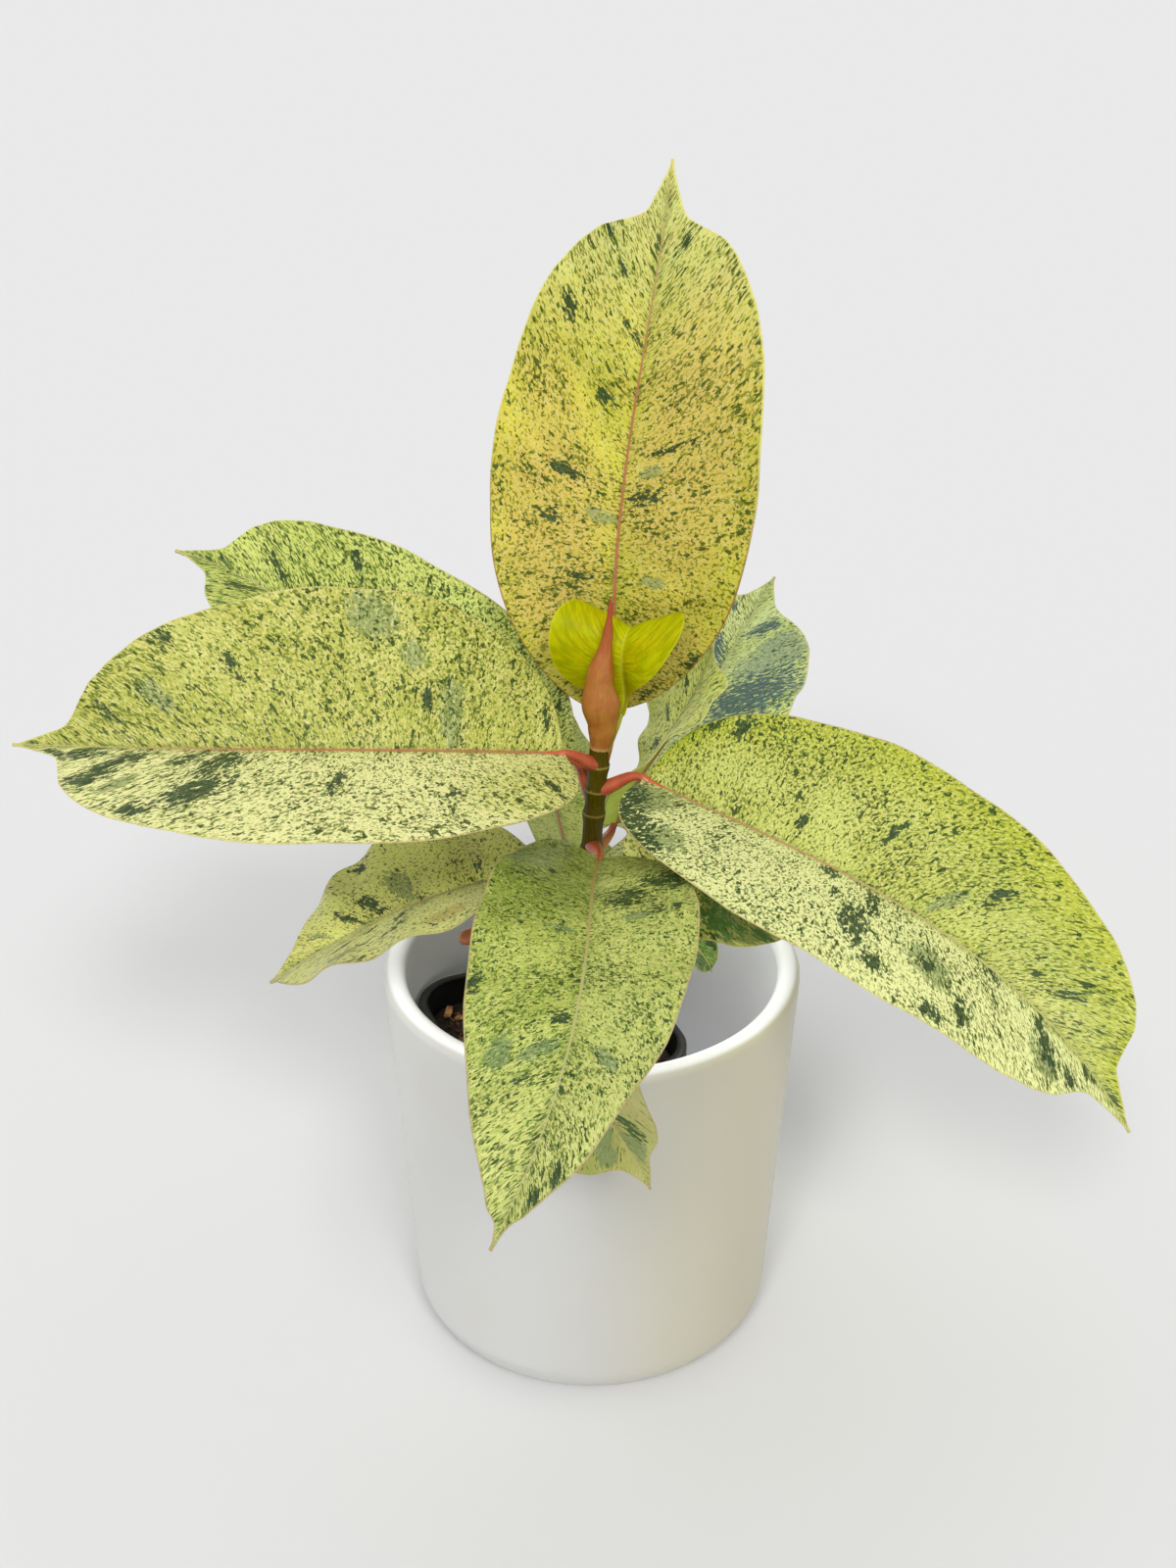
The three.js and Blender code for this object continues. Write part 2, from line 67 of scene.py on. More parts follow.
# Shader sockets that can be added, multiplied and compared like numbers
class Wire:
    def __init__(self, tree, socket=None):
        self.tree = tree
        self.socket = socket

    # Any node: its type, its settings, then the values or wires of its sockets, and the output to go on from
    def node(self, kind, settings=None, sockets=None, output=0):
        made = self.tree.nodes.new(kind)
        for key, value in (settings or {}).items():
            setattr(made, key, value)
        for key, value in (sockets or {}).items():
            if isinstance(value, Wire):
                self.tree.links.new(value.socket, made.inputs[key])
            else:
                made.inputs[key].default_value = value
        return Wire(self.tree, made.outputs[output] if made.outputs else None)

    def sum(self, operation, first, second=0.0):
        return self.node("ShaderNodeMath", {"operation": operation}, {0: first, 1: second})

    def __add__(self, other):
        return self.sum("ADD", self, other)

    def __sub__(self, other):
        return self.sum("SUBTRACT", self, other)

    def __rsub__(self, other):
        return self.sum("SUBTRACT", other, self)

    def __mul__(self, other):
        return self.sum("MULTIPLY", self, other)

    def __truediv__(self, other):
        return self.sum("DIVIDE", self, other)

    def __pow__(self, other):
        return self.sum("POWER", self, other)

    def __gt__(self, other):
        return self.sum("GREATER_THAN", self, other)

    def __abs__(self):
        return self.sum("ABSOLUTE", self)

    __radd__ = __add__
    __rmul__ = __mul__

    def most(self, other):
        return self.sum("MAXIMUM", self, other)

    # 0 at low, 1 at high and smooth between them
    def ease(self, low, high):
        sockets = {"Value": self, "From Min": low, "From Max": high}
        return self.node("ShaderNodeMapRange", {"interpolation_type": "SMOOTHSTEP"}, sockets)

    # The place on the object, in metres
    def spot(self):
        return self.node("ShaderNodeTexCoord", output="Object")

    # A vector attribute of the mesh
    def field(self, name):
        return self.node("ShaderNodeAttribute", {"attribute_name": name}, output="Vector")

    def part(self, letter):
        return self.node("ShaderNodeSeparateXYZ", None, {0: self}, letter)

    def stretch(self, scale):
        return self.node("ShaderNodeVectorMath", {"operation": "MULTIPLY"}, {0: self, 1: scale})

    def cloud(self, scale, detail=3.0, rough=0.55, twist=0.0):
        return self.node("ShaderNodeTexNoise", None, {
            "Vector": self, "Scale": scale, "Detail": detail, "Roughness": rough, "Distortion": twist,
        })

    # Ragged flecks, about half as large as the size given; a lower cut leaves more of them
    def flecks(self, size, cut, detail=2.0, soft=0.03):
        grain = self.stretch([1 / side for side in size]).cloud(1.0, detail, 0.5, 0.35)
        return (grain - cut).ease(0.0, soft)

    # Each side is a wire, or a colour in sRGB values out of 255
    def blend(self, under, over):
        under, over = (tone(*side) if isinstance(side, tuple) else side for side in (under, over))
        return self.node("ShaderNodeMix", {"data_type": "RGBA"}, {0: self, 6: under, 7: over}, 2)

    def bump(self, height, strength, depth):
        sockets = {"Height": height, "Strength": strength, "Distance": depth}
        return self.node("ShaderNodeBump", None, sockets)


# A colour given in sRGB values out of 255, as linear light
def tone(red, green, blue):
    shares = [value / 255 for value in (red, green, blue)]
    return (*(s / 12.92 if s < 0.04045 else ((s + 0.055) / 1.055) ** 2.4 for s in shares), 1.0)


def newFinish(name):
    finish = bpy.data.materials.new(name)
    finish.use_nodes = True
    finish.node_tree.nodes.clear()
    return finish, Wire(finish.node_tree)


def closeFinish(start, sockets):
    shader = start.node("ShaderNodeBsdfPrincipled", None, sockets)
    start.node("ShaderNodeOutputMaterial", None, {"Surface": shader})


# Numbers that the shapes share

def mixed(start, end, share):
    return start + (end - start) * share


def clamped(share):
    return np.clip(share, 0, 1)


# 0 to 1, with level ends
def softened(share):
    return share**2 * (3 - 2 * share)


# 1 in the middle, and falling away within about the half width
def hump(away, half):
    return np.exp(-((away / half) ** 2))


def circle(sides):
    return np.linspace(0, math.tau, sides, endpoint=False)


# Mesh pieces

# Closed body through rings of points, given as an array of rings, points and coordinates
def ringBody(name, rings, fields=None):
    rows, columns = rings.shape[:2]
    grid = np.arange(rows * columns).reshape(rows, columns)
    onward = np.roll(grid, -1, axis=1)
    faces = np.stack([grid[:-1], onward[:-1], onward[1:], grid[1:]], axis=-1).reshape(-1, 4)
    ends = [grid[0][::-1].tolist(), grid[-1].tolist()]
    mesh = bpy.data.meshes.new(name)
    mesh.from_pydata(rings.reshape(-1, 3).tolist(), [], faces.tolist() + ends)
    for field, values in (fields or {}).items():
        layer = mesh.attributes.new(field, "FLOAT_VECTOR", "POINT")
        layer.data.foreach_set("vector", np.asarray(values, np.float32).reshape(-1))
    return newPiece(name, mesh)


def newPiece(name, mesh):
    shell = bmesh.new()
    shell.from_mesh(mesh)
    bmesh.ops.recalc_face_normals(shell, faces=shell.faces)
    shell.to_mesh(mesh)
    shell.free()
    mesh.shade_smooth()
    return show(bpy.data.objects.new(name, mesh))


def settle(piece, finish, slot, *nodes):
    piece.data.materials.append(finish)
    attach(piece, "root")
    if nodes:
        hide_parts(*nodes)


# Smooth line through points, with count places along it
def smoothLine(points, count):
    points = np.asarray(points, float)
    padded = np.vstack([2 * points[0] - points[1], points, 2 * points[-1] - points[-2]])
    justShort = 1e-9  # keeps the last place on the last stretch
    spots = np.linspace(0, len(points) - 1 - justShort, count)
    first = spots.astype(int)
    t = (spots - first)[:, None]
    a, b, c, d = (padded[first + k] for k in range(4))
    bend = (2 * a - 5 * b + 4 * c - d) * t**2 + (3 * b - a - 3 * c + d) * t**3
    return 0.5 * (2 * b + (c - a) * t + bend)


# Rings round a line; radii is one value a ring, or one a ring and side
def tubeRings(line, radii, sides, flatten=1.0):
    radii = np.broadcast_to(np.asarray(radii, float).reshape(len(line), -1), (len(line), sides))
    ahead = np.gradient(line, axis=0)
    ahead /= np.linalg.norm(ahead, axis=1, keepdims=True)
    steep = 0.9  # a line this close to the Y axis takes its sides from the X axis
    guide = np.array([1.0, 0, 0]) if abs(ahead[0][1]) > steep else np.array([0, 1.0, 0])
    turn = circle(sides)
    rings = []
    for middle, forward, radius in zip(line, ahead, radii):
        side = np.cross(guide, forward)
        side /= np.linalg.norm(side)
        guide = np.cross(forward, side)
        across = np.cos(turn)[:, None] * side + flatten * np.sin(turn)[:, None] * guide
        rings.append(middle + radius[:, None] * across)
    return np.array(rings)


# span holds the share of the length and a mark for each point of a tube, and skin its place
# on a tube of even radius, so that a swelling doesn't stretch the grain.
def tubeFields(line, sides, mark=0.0, skinRadius=0.0):
    steps = np.linalg.norm(np.diff(line, axis=0), axis=1)
    even = np.ones((len(line), sides))
    run = np.concatenate([[0], np.cumsum(steps)])[:, None] * even
    turn = circle(sides) * even
    fields = {"span": np.stack([run / run[-1], mark * even, 0 * even], axis=-1)}
    if skinRadius:
        fields["skin"] = np.stack([skinRadius * np.cos(turn), skinRadius * np.sin(turn), run], axis=-1)
    return fields


# White outer pot

whitePot = {
    "height": 160, "rimRadius": 80, "baseRadius": 72, "footRound": 16, "wall": 8.7, "wallAtFloor": 7,
    "floor": 9, "innerRound": 10, "rimRound": 4.3, "sides": 192, "wallSteps": 24,
    "footRing": [(-5, 1.2), (-3.6, 0.9), (-2.6, 0)], "hollow": 1.2, "middle": 0.5,
    # warm is a painted warm shade for the pot's right (+X) side
    "glaze": (203, 203, 201), "shade": (202, 200, 194), "warm": (196, 190, 157),
    # inside is the inner wall painted lighter and bluer than the glaze, as painted bounce light
    "inside": (240, 241, 246), "rim": (250, 250, 254), "speck": (176, 168, 146),
    # The rim tone above and the band below paint a highlight on the rim's top
    "rimHighlightFrom": 0.1583, "rimHighlightFull": 0.1599,
}


def arc(x, z, radius, start, end, steps=14):
    turn = np.radians(np.linspace(start, end, steps))
    return np.stack([x + radius * np.cos(turn), z + radius * np.sin(turn)], axis=1)


def whitePotRings():
    p = whitePot
    rim = p["height"] - p["rimRound"]
    outerFoot = p["baseRadius"] - p["footRound"]
    innerFoot = p["baseRadius"] - p["wallAtFloor"] - p["innerRound"]
    wallFoot = (innerFoot + p["innerRound"], p["floor"] + p["innerRound"])
    wallUp = np.linspace((p["baseRadius"], p["footRound"]), (p["rimRadius"], rim), p["wallSteps"])
    wallDown = np.linspace((p["rimRadius"] - p["wall"], rim), wallFoot, p["wallSteps"])
    profile = np.vstack([
        [(p["middle"], p["hollow"])],
        [(outerFoot + x, z) for x, z in p["footRing"]],
        arc(outerFoot, p["footRound"], p["footRound"], -90, 0),
        wallUp[1:-1],
        arc(p["rimRadius"] - p["rimRound"], rim, p["rimRound"], 0, 90),
        arc(p["rimRadius"] - p["wall"] + p["rimRound"], rim, p["rimRound"], 90, 180)[:-1],
        wallDown[:-1],
        arc(innerFoot, p["floor"] + p["innerRound"], p["innerRound"], 0, -90),
        [(p["middle"], p["floor"])],
    ]) * mm
    turn = circle(p["sides"])
    rings = np.zeros((len(profile), p["sides"], 3))
    rings[..., :2] = profile[:, None, :1] * np.stack([np.cos(turn), np.sin(turn)], axis=1)
    rings[..., 2] = profile[:, 1:]
    return rings


def glazeFinish():
    p = whitePot
    finish, start = newFinish("satin_glaze")
    spot = start.spot()
    x, y, z = (spot.part(letter) for letter in "XYZ")
    clouds = spot.cloud(14.0, 4.0)
    body = (clouds.ease(0.35, 0.75) * 0.6).blend(p["glaze"], p["shade"])
    # Painted warm shade: the glaze grows darker and yellower towards +X
    body = (x.ease(-0.03, 0.085) * 0.95).blend(body, p["warm"])
    specks = spot.flecks((0.0016, 0.0016, 0.0016), 0.76)
    body = (specks * 0.35).blend(body, p["speck"])
    reach = (x**2.0 + y**2.0) ** 0.5
    wallMiddle = z * 0.05 + 0.0685  # the inner face lies nearer to the axis than this
    # Painted bounce light: the inner wall above the foot is painted lighter and bluer
    inner = (1 - (reach - wallMiddle).ease(-0.001, 0.001)) * (z > 0.02)
    body = inner.blend(body, p["inside"])
    # Painted highlight: the top of the rim is painted near white
    rim = z.ease(p["rimHighlightFrom"], p["rimHighlightFull"])
    colour = rim.blend(body, p["rim"])
    dents = spot.cloud(45.0, 1.0)
    closeFinish(start, {
        "Base Color": colour, "Roughness": clouds * 0.14 + 0.3, "Specular IOR Level": 0.5,
        "Coat Weight": 0.35, "Coat Roughness": 0.12, "Normal": start.bump(dents, 0.06, 0.0006),
    })
    return finish


whitePotBody = ringBody("white_pot", whitePotRings())
settle(whitePotBody, glazeFinish(), "ceramic", "cover_pot")
print("white pot made")


# Black nursery pot

blackPot = {
    "centre": (-16, -6), "turn": 21, "foot": 9.3, "rimHeight": 134, "rimHalf": 45, "rimCorner": 20,
    "baseHalf": 32, "baseCorner": 15, "wall": 1.6, "floor": 2.4, "lipDepth": 9, "lipStep": 1.6,
    "lipEdge": 0.6, "drainRadius": 4, "drainReach": 22, "drainDepth": 10,
    "cornerSteps": 16, "sideSteps": 6,
    "plastic": (29, 30, 32), "dust": (96, 92, 86),
}


# Rounded square ring about the black pot's middle, in millimetres
def squareRing(half, corner, height):
    p = blackPot
    ring = []
    for k in range(4):
        quarter = math.radians(p["turn"] + 90 * k)
        away = (half - corner) * math.sqrt(2)
        x = p["centre"][0] + away * math.cos(quarter + math.pi / 4)
        y = p["centre"][1] + away * math.sin(quarter + math.pi / 4)
        turn = quarter + np.linspace(0, math.pi / 2, p["cornerSteps"])
        ring.append(np.stack([x + corner * np.cos(turn), y + corner * np.sin(turn)], axis=1))
    filled = []
    for k in range(4):
        start, end = ring[k][-1], ring[(k + 1) % 4][0]
        shares = np.linspace(0, 1, p["sideSteps"] + 1)[1:-1, None]
        filled += [ring[k], start + (end - start) * shares]
    flat = np.vstack(filled)
    return np.column_stack([flat, np.full(len(flat), float(height))]) * mm


# Ring of the sloping wall at a height, moved in by the inset
def wallRing(height, inset):
    p = blackPot
    share = (height - p["foot"]) / (p["rimHeight"] - p["foot"])
    half = mixed(p["baseHalf"], p["rimHalf"] - p["lipStep"], share)
    corner = mixed(p["baseCorner"], p["rimCorner"] - p["lipStep"], share)
    return squareRing(half - inset, corner - inset, height)


# From the underside up the outside, over the lip, and down the inside to the floor
def blackPotPiece():
    p = blackPot
    lip = p["rimHeight"] - p["lipDepth"]
    rings = [
        squareRing(p["baseHalf"] - 4, p["baseCorner"] - 4, p["foot"]),
        wallRing(p["foot"] + 0.2, 0.8),
        wallRing(p["foot"] + 1, 0),
        wallRing(lip - 0.2, 0),
        squareRing(p["rimHalf"] - 0.5, p["rimCorner"] - 0.5, lip + 0.4),
        squareRing(p["rimHalf"], p["rimCorner"], lip + p["lipStep"]),
        squareRing(p["rimHalf"], p["rimCorner"], p["rimHeight"] - p["lipEdge"]),
        squareRing(p["rimHalf"] - 0.2, p["rimCorner"] - 0.2, p["rimHeight"] - 0.2),
        squareRing(p["rimHalf"] - p["lipEdge"], p["rimCorner"] - p["lipEdge"], p["rimHeight"]),
        wallRing(p["rimHeight"], p["wall"] + 0.3),
        wallRing(p["rimHeight"] - 0.4, p["wall"]),
        wallRing(p["foot"] + p["floor"] + 1, p["wall"]),
        wallRing(p["foot"] + p["floor"], p["wall"] + 1),
    ]
    pot = ringBody("black_pot", np.array(rings))
    cutter = bmesh.new()
    for k in range(4):
        turn = math.radians(p["turn"] + 90 * k)
        x = p["centre"][0] + p["drainReach"] * math.cos(turn)
        y = p["centre"][1] + p["drainReach"] * math.sin(turn)
        place = Matrix.Translation(Vector((x, y, p["foot"] + 1)) * mm)
        bmesh.ops.create_cone(cutter, cap_ends=True, segments=32, radius1=p["drainRadius"] * mm,
                              radius2=p["drainRadius"] * mm, depth=p["drainDepth"] * mm, matrix=place)
    drainMesh = bpy.data.meshes.new("drains")
    cutter.to_mesh(drainMesh)
    cutter.free()
    drains = show(bpy.data.objects.new("drains", drainMesh))
    cut = pot.modifiers.new("drains", "BOOLEAN")
    cut.operation = "DIFFERENCE"
    cut.solver = "EXACT"
    cut.object = drains
    bpy.context.view_layer.update()
    pot.data = bpy.data.meshes.new_from_object(pot.evaluated_get(bpy.context.evaluated_depsgraph_get()))
    pot.modifiers.clear()
    bpy.data.objects.remove(drains)
    pot.data.shade_smooth()
    return pot


def plasticFinish():
    finish, start = newFinish("black_plastic")
    spot = start.spot()
    dusty = spot.cloud(60.0, 5.0, 0.65)
    scuffs = spot.stretch((1.0, 1.0, 6.0)).cloud(150.0, 3.0)
    colour = ((dusty * scuffs).ease(0.28, 0.5) * 0.28).blend(blackPot["plastic"], blackPot["dust"])
    closeFinish(start, {
        "Base Color": colour, "Roughness": dusty * 0.2 + 0.31,
        "Normal": start.bump(spot.cloud(900.0, 2.0), 0.1, 0.0003),
    })
    return finish


settle(blackPotPiece(), plasticFinish(), "black_plastic", "nursery_pot")
print("black pot made")


# Potting mix and bark

mixBed = {
    "foot": 12, "top": 123, "inset": 1.9, "rings": 46, "levelFrom": 0.98, "swell": 1.6, "grit": 1.1,
    "earth": (58, 44, 33), "pale": (112, 88, 64), "dark": (27, 21, 17),
}
bark = {
    "chips": {"count": 70, "long": (6, 15), "deep": (0.14, 0.26), "tilt": 0.35, "lift": 2.2, "facets": 2},
    "crumbs": {"count": 420, "long": (1.4, 4), "deep": (0.3, 0.6), "tilt": 1.2, "lift": 0.6, "facets": 1},
    "wide": (0.4, 0.75), "spread": 39, "reach": 46, "stemPlace": (-1.5, 0.5), "stemRoom": 6,
    "boxy": 0.45, "laid": [(-57, 13.5, 8), (-52, 12, 7)], "laidWide": 0.42, "laidDeep": 0.2,
    "warm": (140, 98, 62), "brown": (96, 66, 44), "grey": (120, 106, 90), "light": (224, 160, 100),
}


# Height of the mix at a place in metres
def bedHeight(x, y):
    p = mixBed
    broad = noise.fractal(Vector((x * 45, y * 45, 3.1)), 1.0, 2.0, 3)
    fine = noise.fractal(Vector((x * 420, y * 420, 8.4)), 0.8, 2.1, 3)
    return (p["top"] + p["swell"] * broad + p["grit"] * fine) * mm


def mixPiece():
    p = mixBed
    edge = wallRing(p["top"], p["inset"])
    hub = np.array([*blackPot["centre"], p["top"]]) * mm
    rings = [wallRing(p["foot"], p["inset"]), wallRing(p["top"] - 4, p["inset"])]
    for share in np.linspace(1, 0.01, p["rings"]):
        ring = hub + (edge - hub) * share
        if share < p["levelFrom"]:
            ring[:, 2] = [bedHeight(x, y) for x, y, _ in ring]
        rings.append(ring)
    return ringBody("potting_mix", np.array(rings))


def earthFinish():
    p = mixBed
    finish, start = newFinish("potting_mix")
    spot = start.spot()
    grain = spot.cloud(520.0, 6.0, 0.7)
    damp = spot.cloud(40.0, 3.0)
    earth = grain.ease(0.35, 0.62).blend(p["dark"], p["earth"])
    colour = (spot.flecks((0.004, 0.004, 0.004), 0.66) * 0.8).blend(earth, p["pale"])
    closeFinish(start, {
        "Base Color": colour, "Roughness": damp * 0.2 + 0.72,
        "Normal": start.bump(grain, 0.8, 0.0012),
    })
    return finish


# A free place for a chip on the mix, kept off the stem and inside the black pot
def barkPlace(long):
    p = bark
    turn = math.radians(blackPot["turn"])
    drawnIn = 1 - 0.4 * long / blackPot["rimHalf"]
    while True:
        u, v = chance.uniform(-p["spread"], p["spread"], 2) * drawnIn
        x = blackPot["centre"][0] + u * math.cos(turn) - v * math.sin(turn)
        y = blackPot["centre"][1] + u * math.sin(turn) + v * math.cos(turn)
        fromStem = math.hypot(x - p["stemPlace"][0], y - p["stemPlace"][1])
        if math.hypot(u, v) < p["reach"] - long / 2 and fromStem > p["stemRoom"] + long / 2:
            return x, y


# Flat chips and crumbs of bark lying on the mix. The first few lie at the places given in laid.
def barkPiece():
    p = bark
    shell = bmesh.new()
    layer = shell.verts.layers.float_vector.new("span")
    for k in range(p["chips"]["count"] + p["crumbs"]["count"]):
        kind = p["chips"] if k < p["chips"]["count"] else p["crumbs"]
        isLaid = k < len(p["laid"])
        long = chance.uniform(*kind["long"])
        wide = long * chance.uniform(*p["wide"])
        deep = long * chance.uniform(*kind["deep"])
        x, y = barkPlace(long)
        if isLaid:
            x, y, long = p["laid"][k]
            wide, deep = long * p["laidWide"], long * p["laidDeep"]
        pose = Matrix.Rotation(chance.uniform(0, math.tau), 4, "Z")
        for axis in "XY":
            pose = pose @ Matrix.Rotation(chance.uniform(-kind["tilt"], kind["tilt"]), 4, axis)
        lift = 0.3 * deep + chance.uniform(0, kind["lift"])
        place = Matrix.Translation(Vector((x * mm, y * mm, bedHeight(x * mm, y * mm) + lift * mm)))
        size = Matrix.Diagonal((long * mm / 2, wide * mm / 2, deep * mm / 2, 1))
        made = bmesh.ops.create_icosphere(shell, subdivisions=kind["facets"], radius=1.0)["verts"]
        draw = chance.uniform()
        if isLaid:
            draw = 2  # more than any drawn value, so that its finish can tell it apart
        for vert in made:
            boxed = Vector([math.copysign(abs(c) ** p["boxy"], c) for c in vert.co])
            rough = noise.fractal(boxed * 2.2 + Vector((k, 0, 0)), 0.9, 2.0, 3)
            vert[layer] = Vector((draw, 0, 0))
            vert.co = place @ pose @ size @ (boxed * (0.8 + 0.28 * rough))
    mesh = bpy.data.meshes.new("bark_chips")
    shell.to_mesh(mesh)
    shell.free()
    return newPiece("bark_chips", mesh)


def barkFinish():
    p = bark
    finish, start = newFinish("bark")
    draw = start.field("span").part("X")
    spot = start.spot()
    grain = spot.stretch((1.0, 3.0, 3.0)).cloud(260.0, 4.0, 0.65)
    base = draw.ease(0.15, 0.6).blend(p["brown"], p["warm"])
    base = (draw > 0.78).blend(base, p["grey"])
    base = (draw > 1.5).blend(base, p["light"])
    colour = (grain.ease(0.42, 0.66) * 0.7).blend(base, mixBed["earth"])
    closeFinish(start, {
        "Base Color": colour, "Roughness": grain * 0.2 + 0.68,
        "Normal": start.bump(grain, 0.7, 0.0008),
    })
    return finish


settle(mixPiece(), earthFinish(), "potting_mix", "soil")
settle(barkPiece(), barkFinish(), "potting_mix")
print("potting mix made")


# Leaf shapes: node is the height where the stalk leaves the stem, and base is where the blade begins.
# turn and rise give the midrib's heading at the base, middle and tip, and roll its bank at the ends.
# half is half the width, widest the share of the length where it is reached, fold the angle of each side
# to the flat, and wave the height and number of the waves at the edge. Millimetres and degrees.
leafColumns = ("node", "base", "turn", "rise", "roll", "length", "half", "fold", "widest", "wave")
leafRows = {
    "crown": (240, (8, 24, 253), (90, 58, 66), (98, 75, 76), (4, -6), 199, 55, 8, 0.51, (0.8, 4)),
    "left": (243, (-10, -8, 251), (201, 183, 175), (12, 2, 0), (-20, -26), 196, 65, 24, 0.39, (0.8, 4)),
    "right": (232, (19, -4, 239), (-32, -32, -45), (-11, -18, -49), (10, 19), 213, 56, 21, 0.36, (0.6, 4)),
    "back_left": (228, (-8, 13, 238), (154, 170, 165), (0, 34, 11), (-38, -13), 169, 48, 18, 0.45, (0.7, 4)),
    "front": (209, (3, -17, 213), (264, 265, 240), (19, -3, -29), (-7, 10), 209, 38, 19, 0.43, (1.4, 5)),
    "back_right": (204, (9, 24, 206), (18, 33, 52), (76, 45, 72), (-44, -19), 79, 33, 10, 0.45, (1.2, 4)),
    "low_left": (194, (-14, -4, 199), (199, 187, 171), (11, -23, -38), (3, 0), 120, 43, 17, 0.47, (1.6, 5)),
    "low_right": (198, (13, -9, 202), (-10, -20, -5), (30, -17, -27), (44, 4), 73, 31, 13, 0.45, (1.2, 4)),
    "back": (181, (-5, 14, 184), (103, 94, 87), (3, 10, 18), (30, 42), 160, 28, 12, 0.46, (1.4, 5)),
    "far_right": (187, (10, 13, 192), (68, 68, 60), (14, 15, 24), (-36, 15), 190, 42, 8, 0.46, (1.6, 5)),
    "low_front": (174, (-1, -18, 179), (256, 279, 348), (-16, -4, -74), (3, 86), 127, 31, 22, 0.47, (1, 4)),
    "inner": (168, (14, 2, 172), (-2, -10, -25), (7, -26, -67), (8, 7), 40, 15, 15, 0.5, (0.5, 3)),
    "new": (246, (10.6, 3.5, 261), (48, 62, 90), (56, 80, -160), (0, 0), 48.5, 27.5, 27, 0.56, (0.3, 3)),
}
leafShapes = {name: dict(zip(leafColumns, row)) for name, row in leafRows.items()}
leafShapes["front"]["tip"] = (0.05, 4, 0.03)
leafShapes["front"]["point"] = 0.8
leafShapes["back"]["trim"] = [(-1, 0.86, 0.2, 0.75), (-1, 0.28, 0.09, 0.4)]
leafShapes["far_right"]["trim"] = [(1, 0.36, 0.38, 0.72), (1, 0.1, 0.09, 0.85)]
leafShapes["inner"]["tip"] = (0.06, 4, 0.03)
leafShapes["new"]["trim"] = [
    (-1, 0, 0.75, 0.9), (1, 0, 0.3, 0.2), (-1, 0.92, 0.3, 0.5), (1, 0.92, 0.3, 0.3),
]
blade = {
    "thick": 0.9, "edgeThick": 0.5, "edgeRound": 0.18, "arch": 0.07, "fullHalf": 40, "calmHalf": 12,
    "tip": (0.15, 14, 0.05), "tipPower": 1.2, "tipOverlap": 0.5, "tipBlend": 1.9, "point": 0.58,
    "startHalf": 2, "endHalf": 0.5, "phasePerLeaf": 1.7, "phaseAcross": 2,
    "rowStep": 1.15, "moreRows": 12, "endRows": 0.035,
    "leanFrom": 0.1, "lean": -0.2, "leanRise": 0.9, "leanBend": 1.5, "leanSteps": 12,
    "ribUnder": 2.2, "ribUnderHalf": 1.7, "ribOver": 0.45, "ribOverHalf": 1.5,
    "valley": 0.5, "valleyHalf": 4.5, "veinStep": 5.2, "veinRelief": 0.09, "ripple": 0.2,
    "grainStep": 11.3,  # moves each leaf to its own part of the noise
    "besideRib": [0, 0.008, 0.017, 0.028, 0.043], "besideEdge": [0.985, 0.995, 1],
}


# A curve that has the three values at the base, the middle and the tip
def through(values, share):
    a, b, c = values
    return a + (4 * b - 3 * a - c) * share + 2 * (a - 2 * b + c) * share**2


def sizeOf(leaf):
    return min(1, leaf["half"] / blade["fullHalf"])


# Half width in millimetres along the blade, an oval that flares into a drawn-out tip.
# tip is the tip's share of the length, its half width where it starts, and the flare's share.
def halfWidth(leaf, share):
    tipShare, tipHalf, tipFlare = leaf.get("tip", blade["tip"])
    end = 1 - blade["tipOverlap"] * tipShare
    along = clamped(share / end) ** (math.log(0.5) / math.log(leaf["widest"] / end))
    flare = softened(clamped((end - share) / tipFlare))
    power = mixed(0.5, leaf.get("point", blade["point"]), clamped(2 * along - 0.9))
    body = leaf["half"] * np.maximum(0, 4 * along * (1 - along)) ** power * flare
    tipRun = clamped((1 - share) / tipShare)
    tip = sizeOf(leaf) * tipHalf * tipRun ** blade["tipPower"] * clamped(share / 0.3 - 1.6)
    least = sizeOf(leaf) * mixed(blade["startHalf"], blade["endHalf"], share)
    joined = (body ** blade["tipBlend"] + tip ** blade["tipBlend"]) ** (1 / blade["tipBlend"])
    return np.maximum(least, joined)


# Share of the width left on one side where a leaf is trimmed: side, middle, reach and depth
def trimmed(leaf, share, side):
    left = np.ones_like(share)
    for where, middle, reach, depth in leaf.get("trim", ()):
        if where == side:
            left *= 1 - depth * softened(clamped(1 - np.abs(share - middle) / reach))
    return left


# Unit vectors along the midrib, to its left and up from its face
def headings(leaf, share):
    turn = np.radians(through(leaf["turn"], share))
    rise = np.radians(through(leaf["rise"], share))
    ahead = np.stack([np.cos(rise) * np.cos(turn), np.cos(rise) * np.sin(turn), np.sin(rise)], axis=-1)
    level = np.stack([-np.sin(turn), np.cos(turn), np.zeros_like(turn)], axis=-1)
    upright = np.cross(ahead, level)
    roll = np.radians(mixed(leaf["roll"][0], leaf["roll"][1], share))[:, None]
    left = np.cos(roll) * level + np.sin(roll) * upright
    return ahead, left, np.cos(roll) * upright - np.sin(roll) * level


# Midrib points in millimetres, by walking along the headings
def midrib(leaf, shares):
    steps = 1500
    ahead = headings(leaf, (np.arange(steps) + 0.5) / steps)[0]
    walked = np.vstack([np.zeros(3), np.cumsum(ahead, axis=0) * leaf["length"] / steps]) + leaf["base"]
    stations = np.linspace(0, 1, steps + 1)
    return np.stack([np.interp(shares, stations, walked[:, k]) for k in range(3)], axis=1)


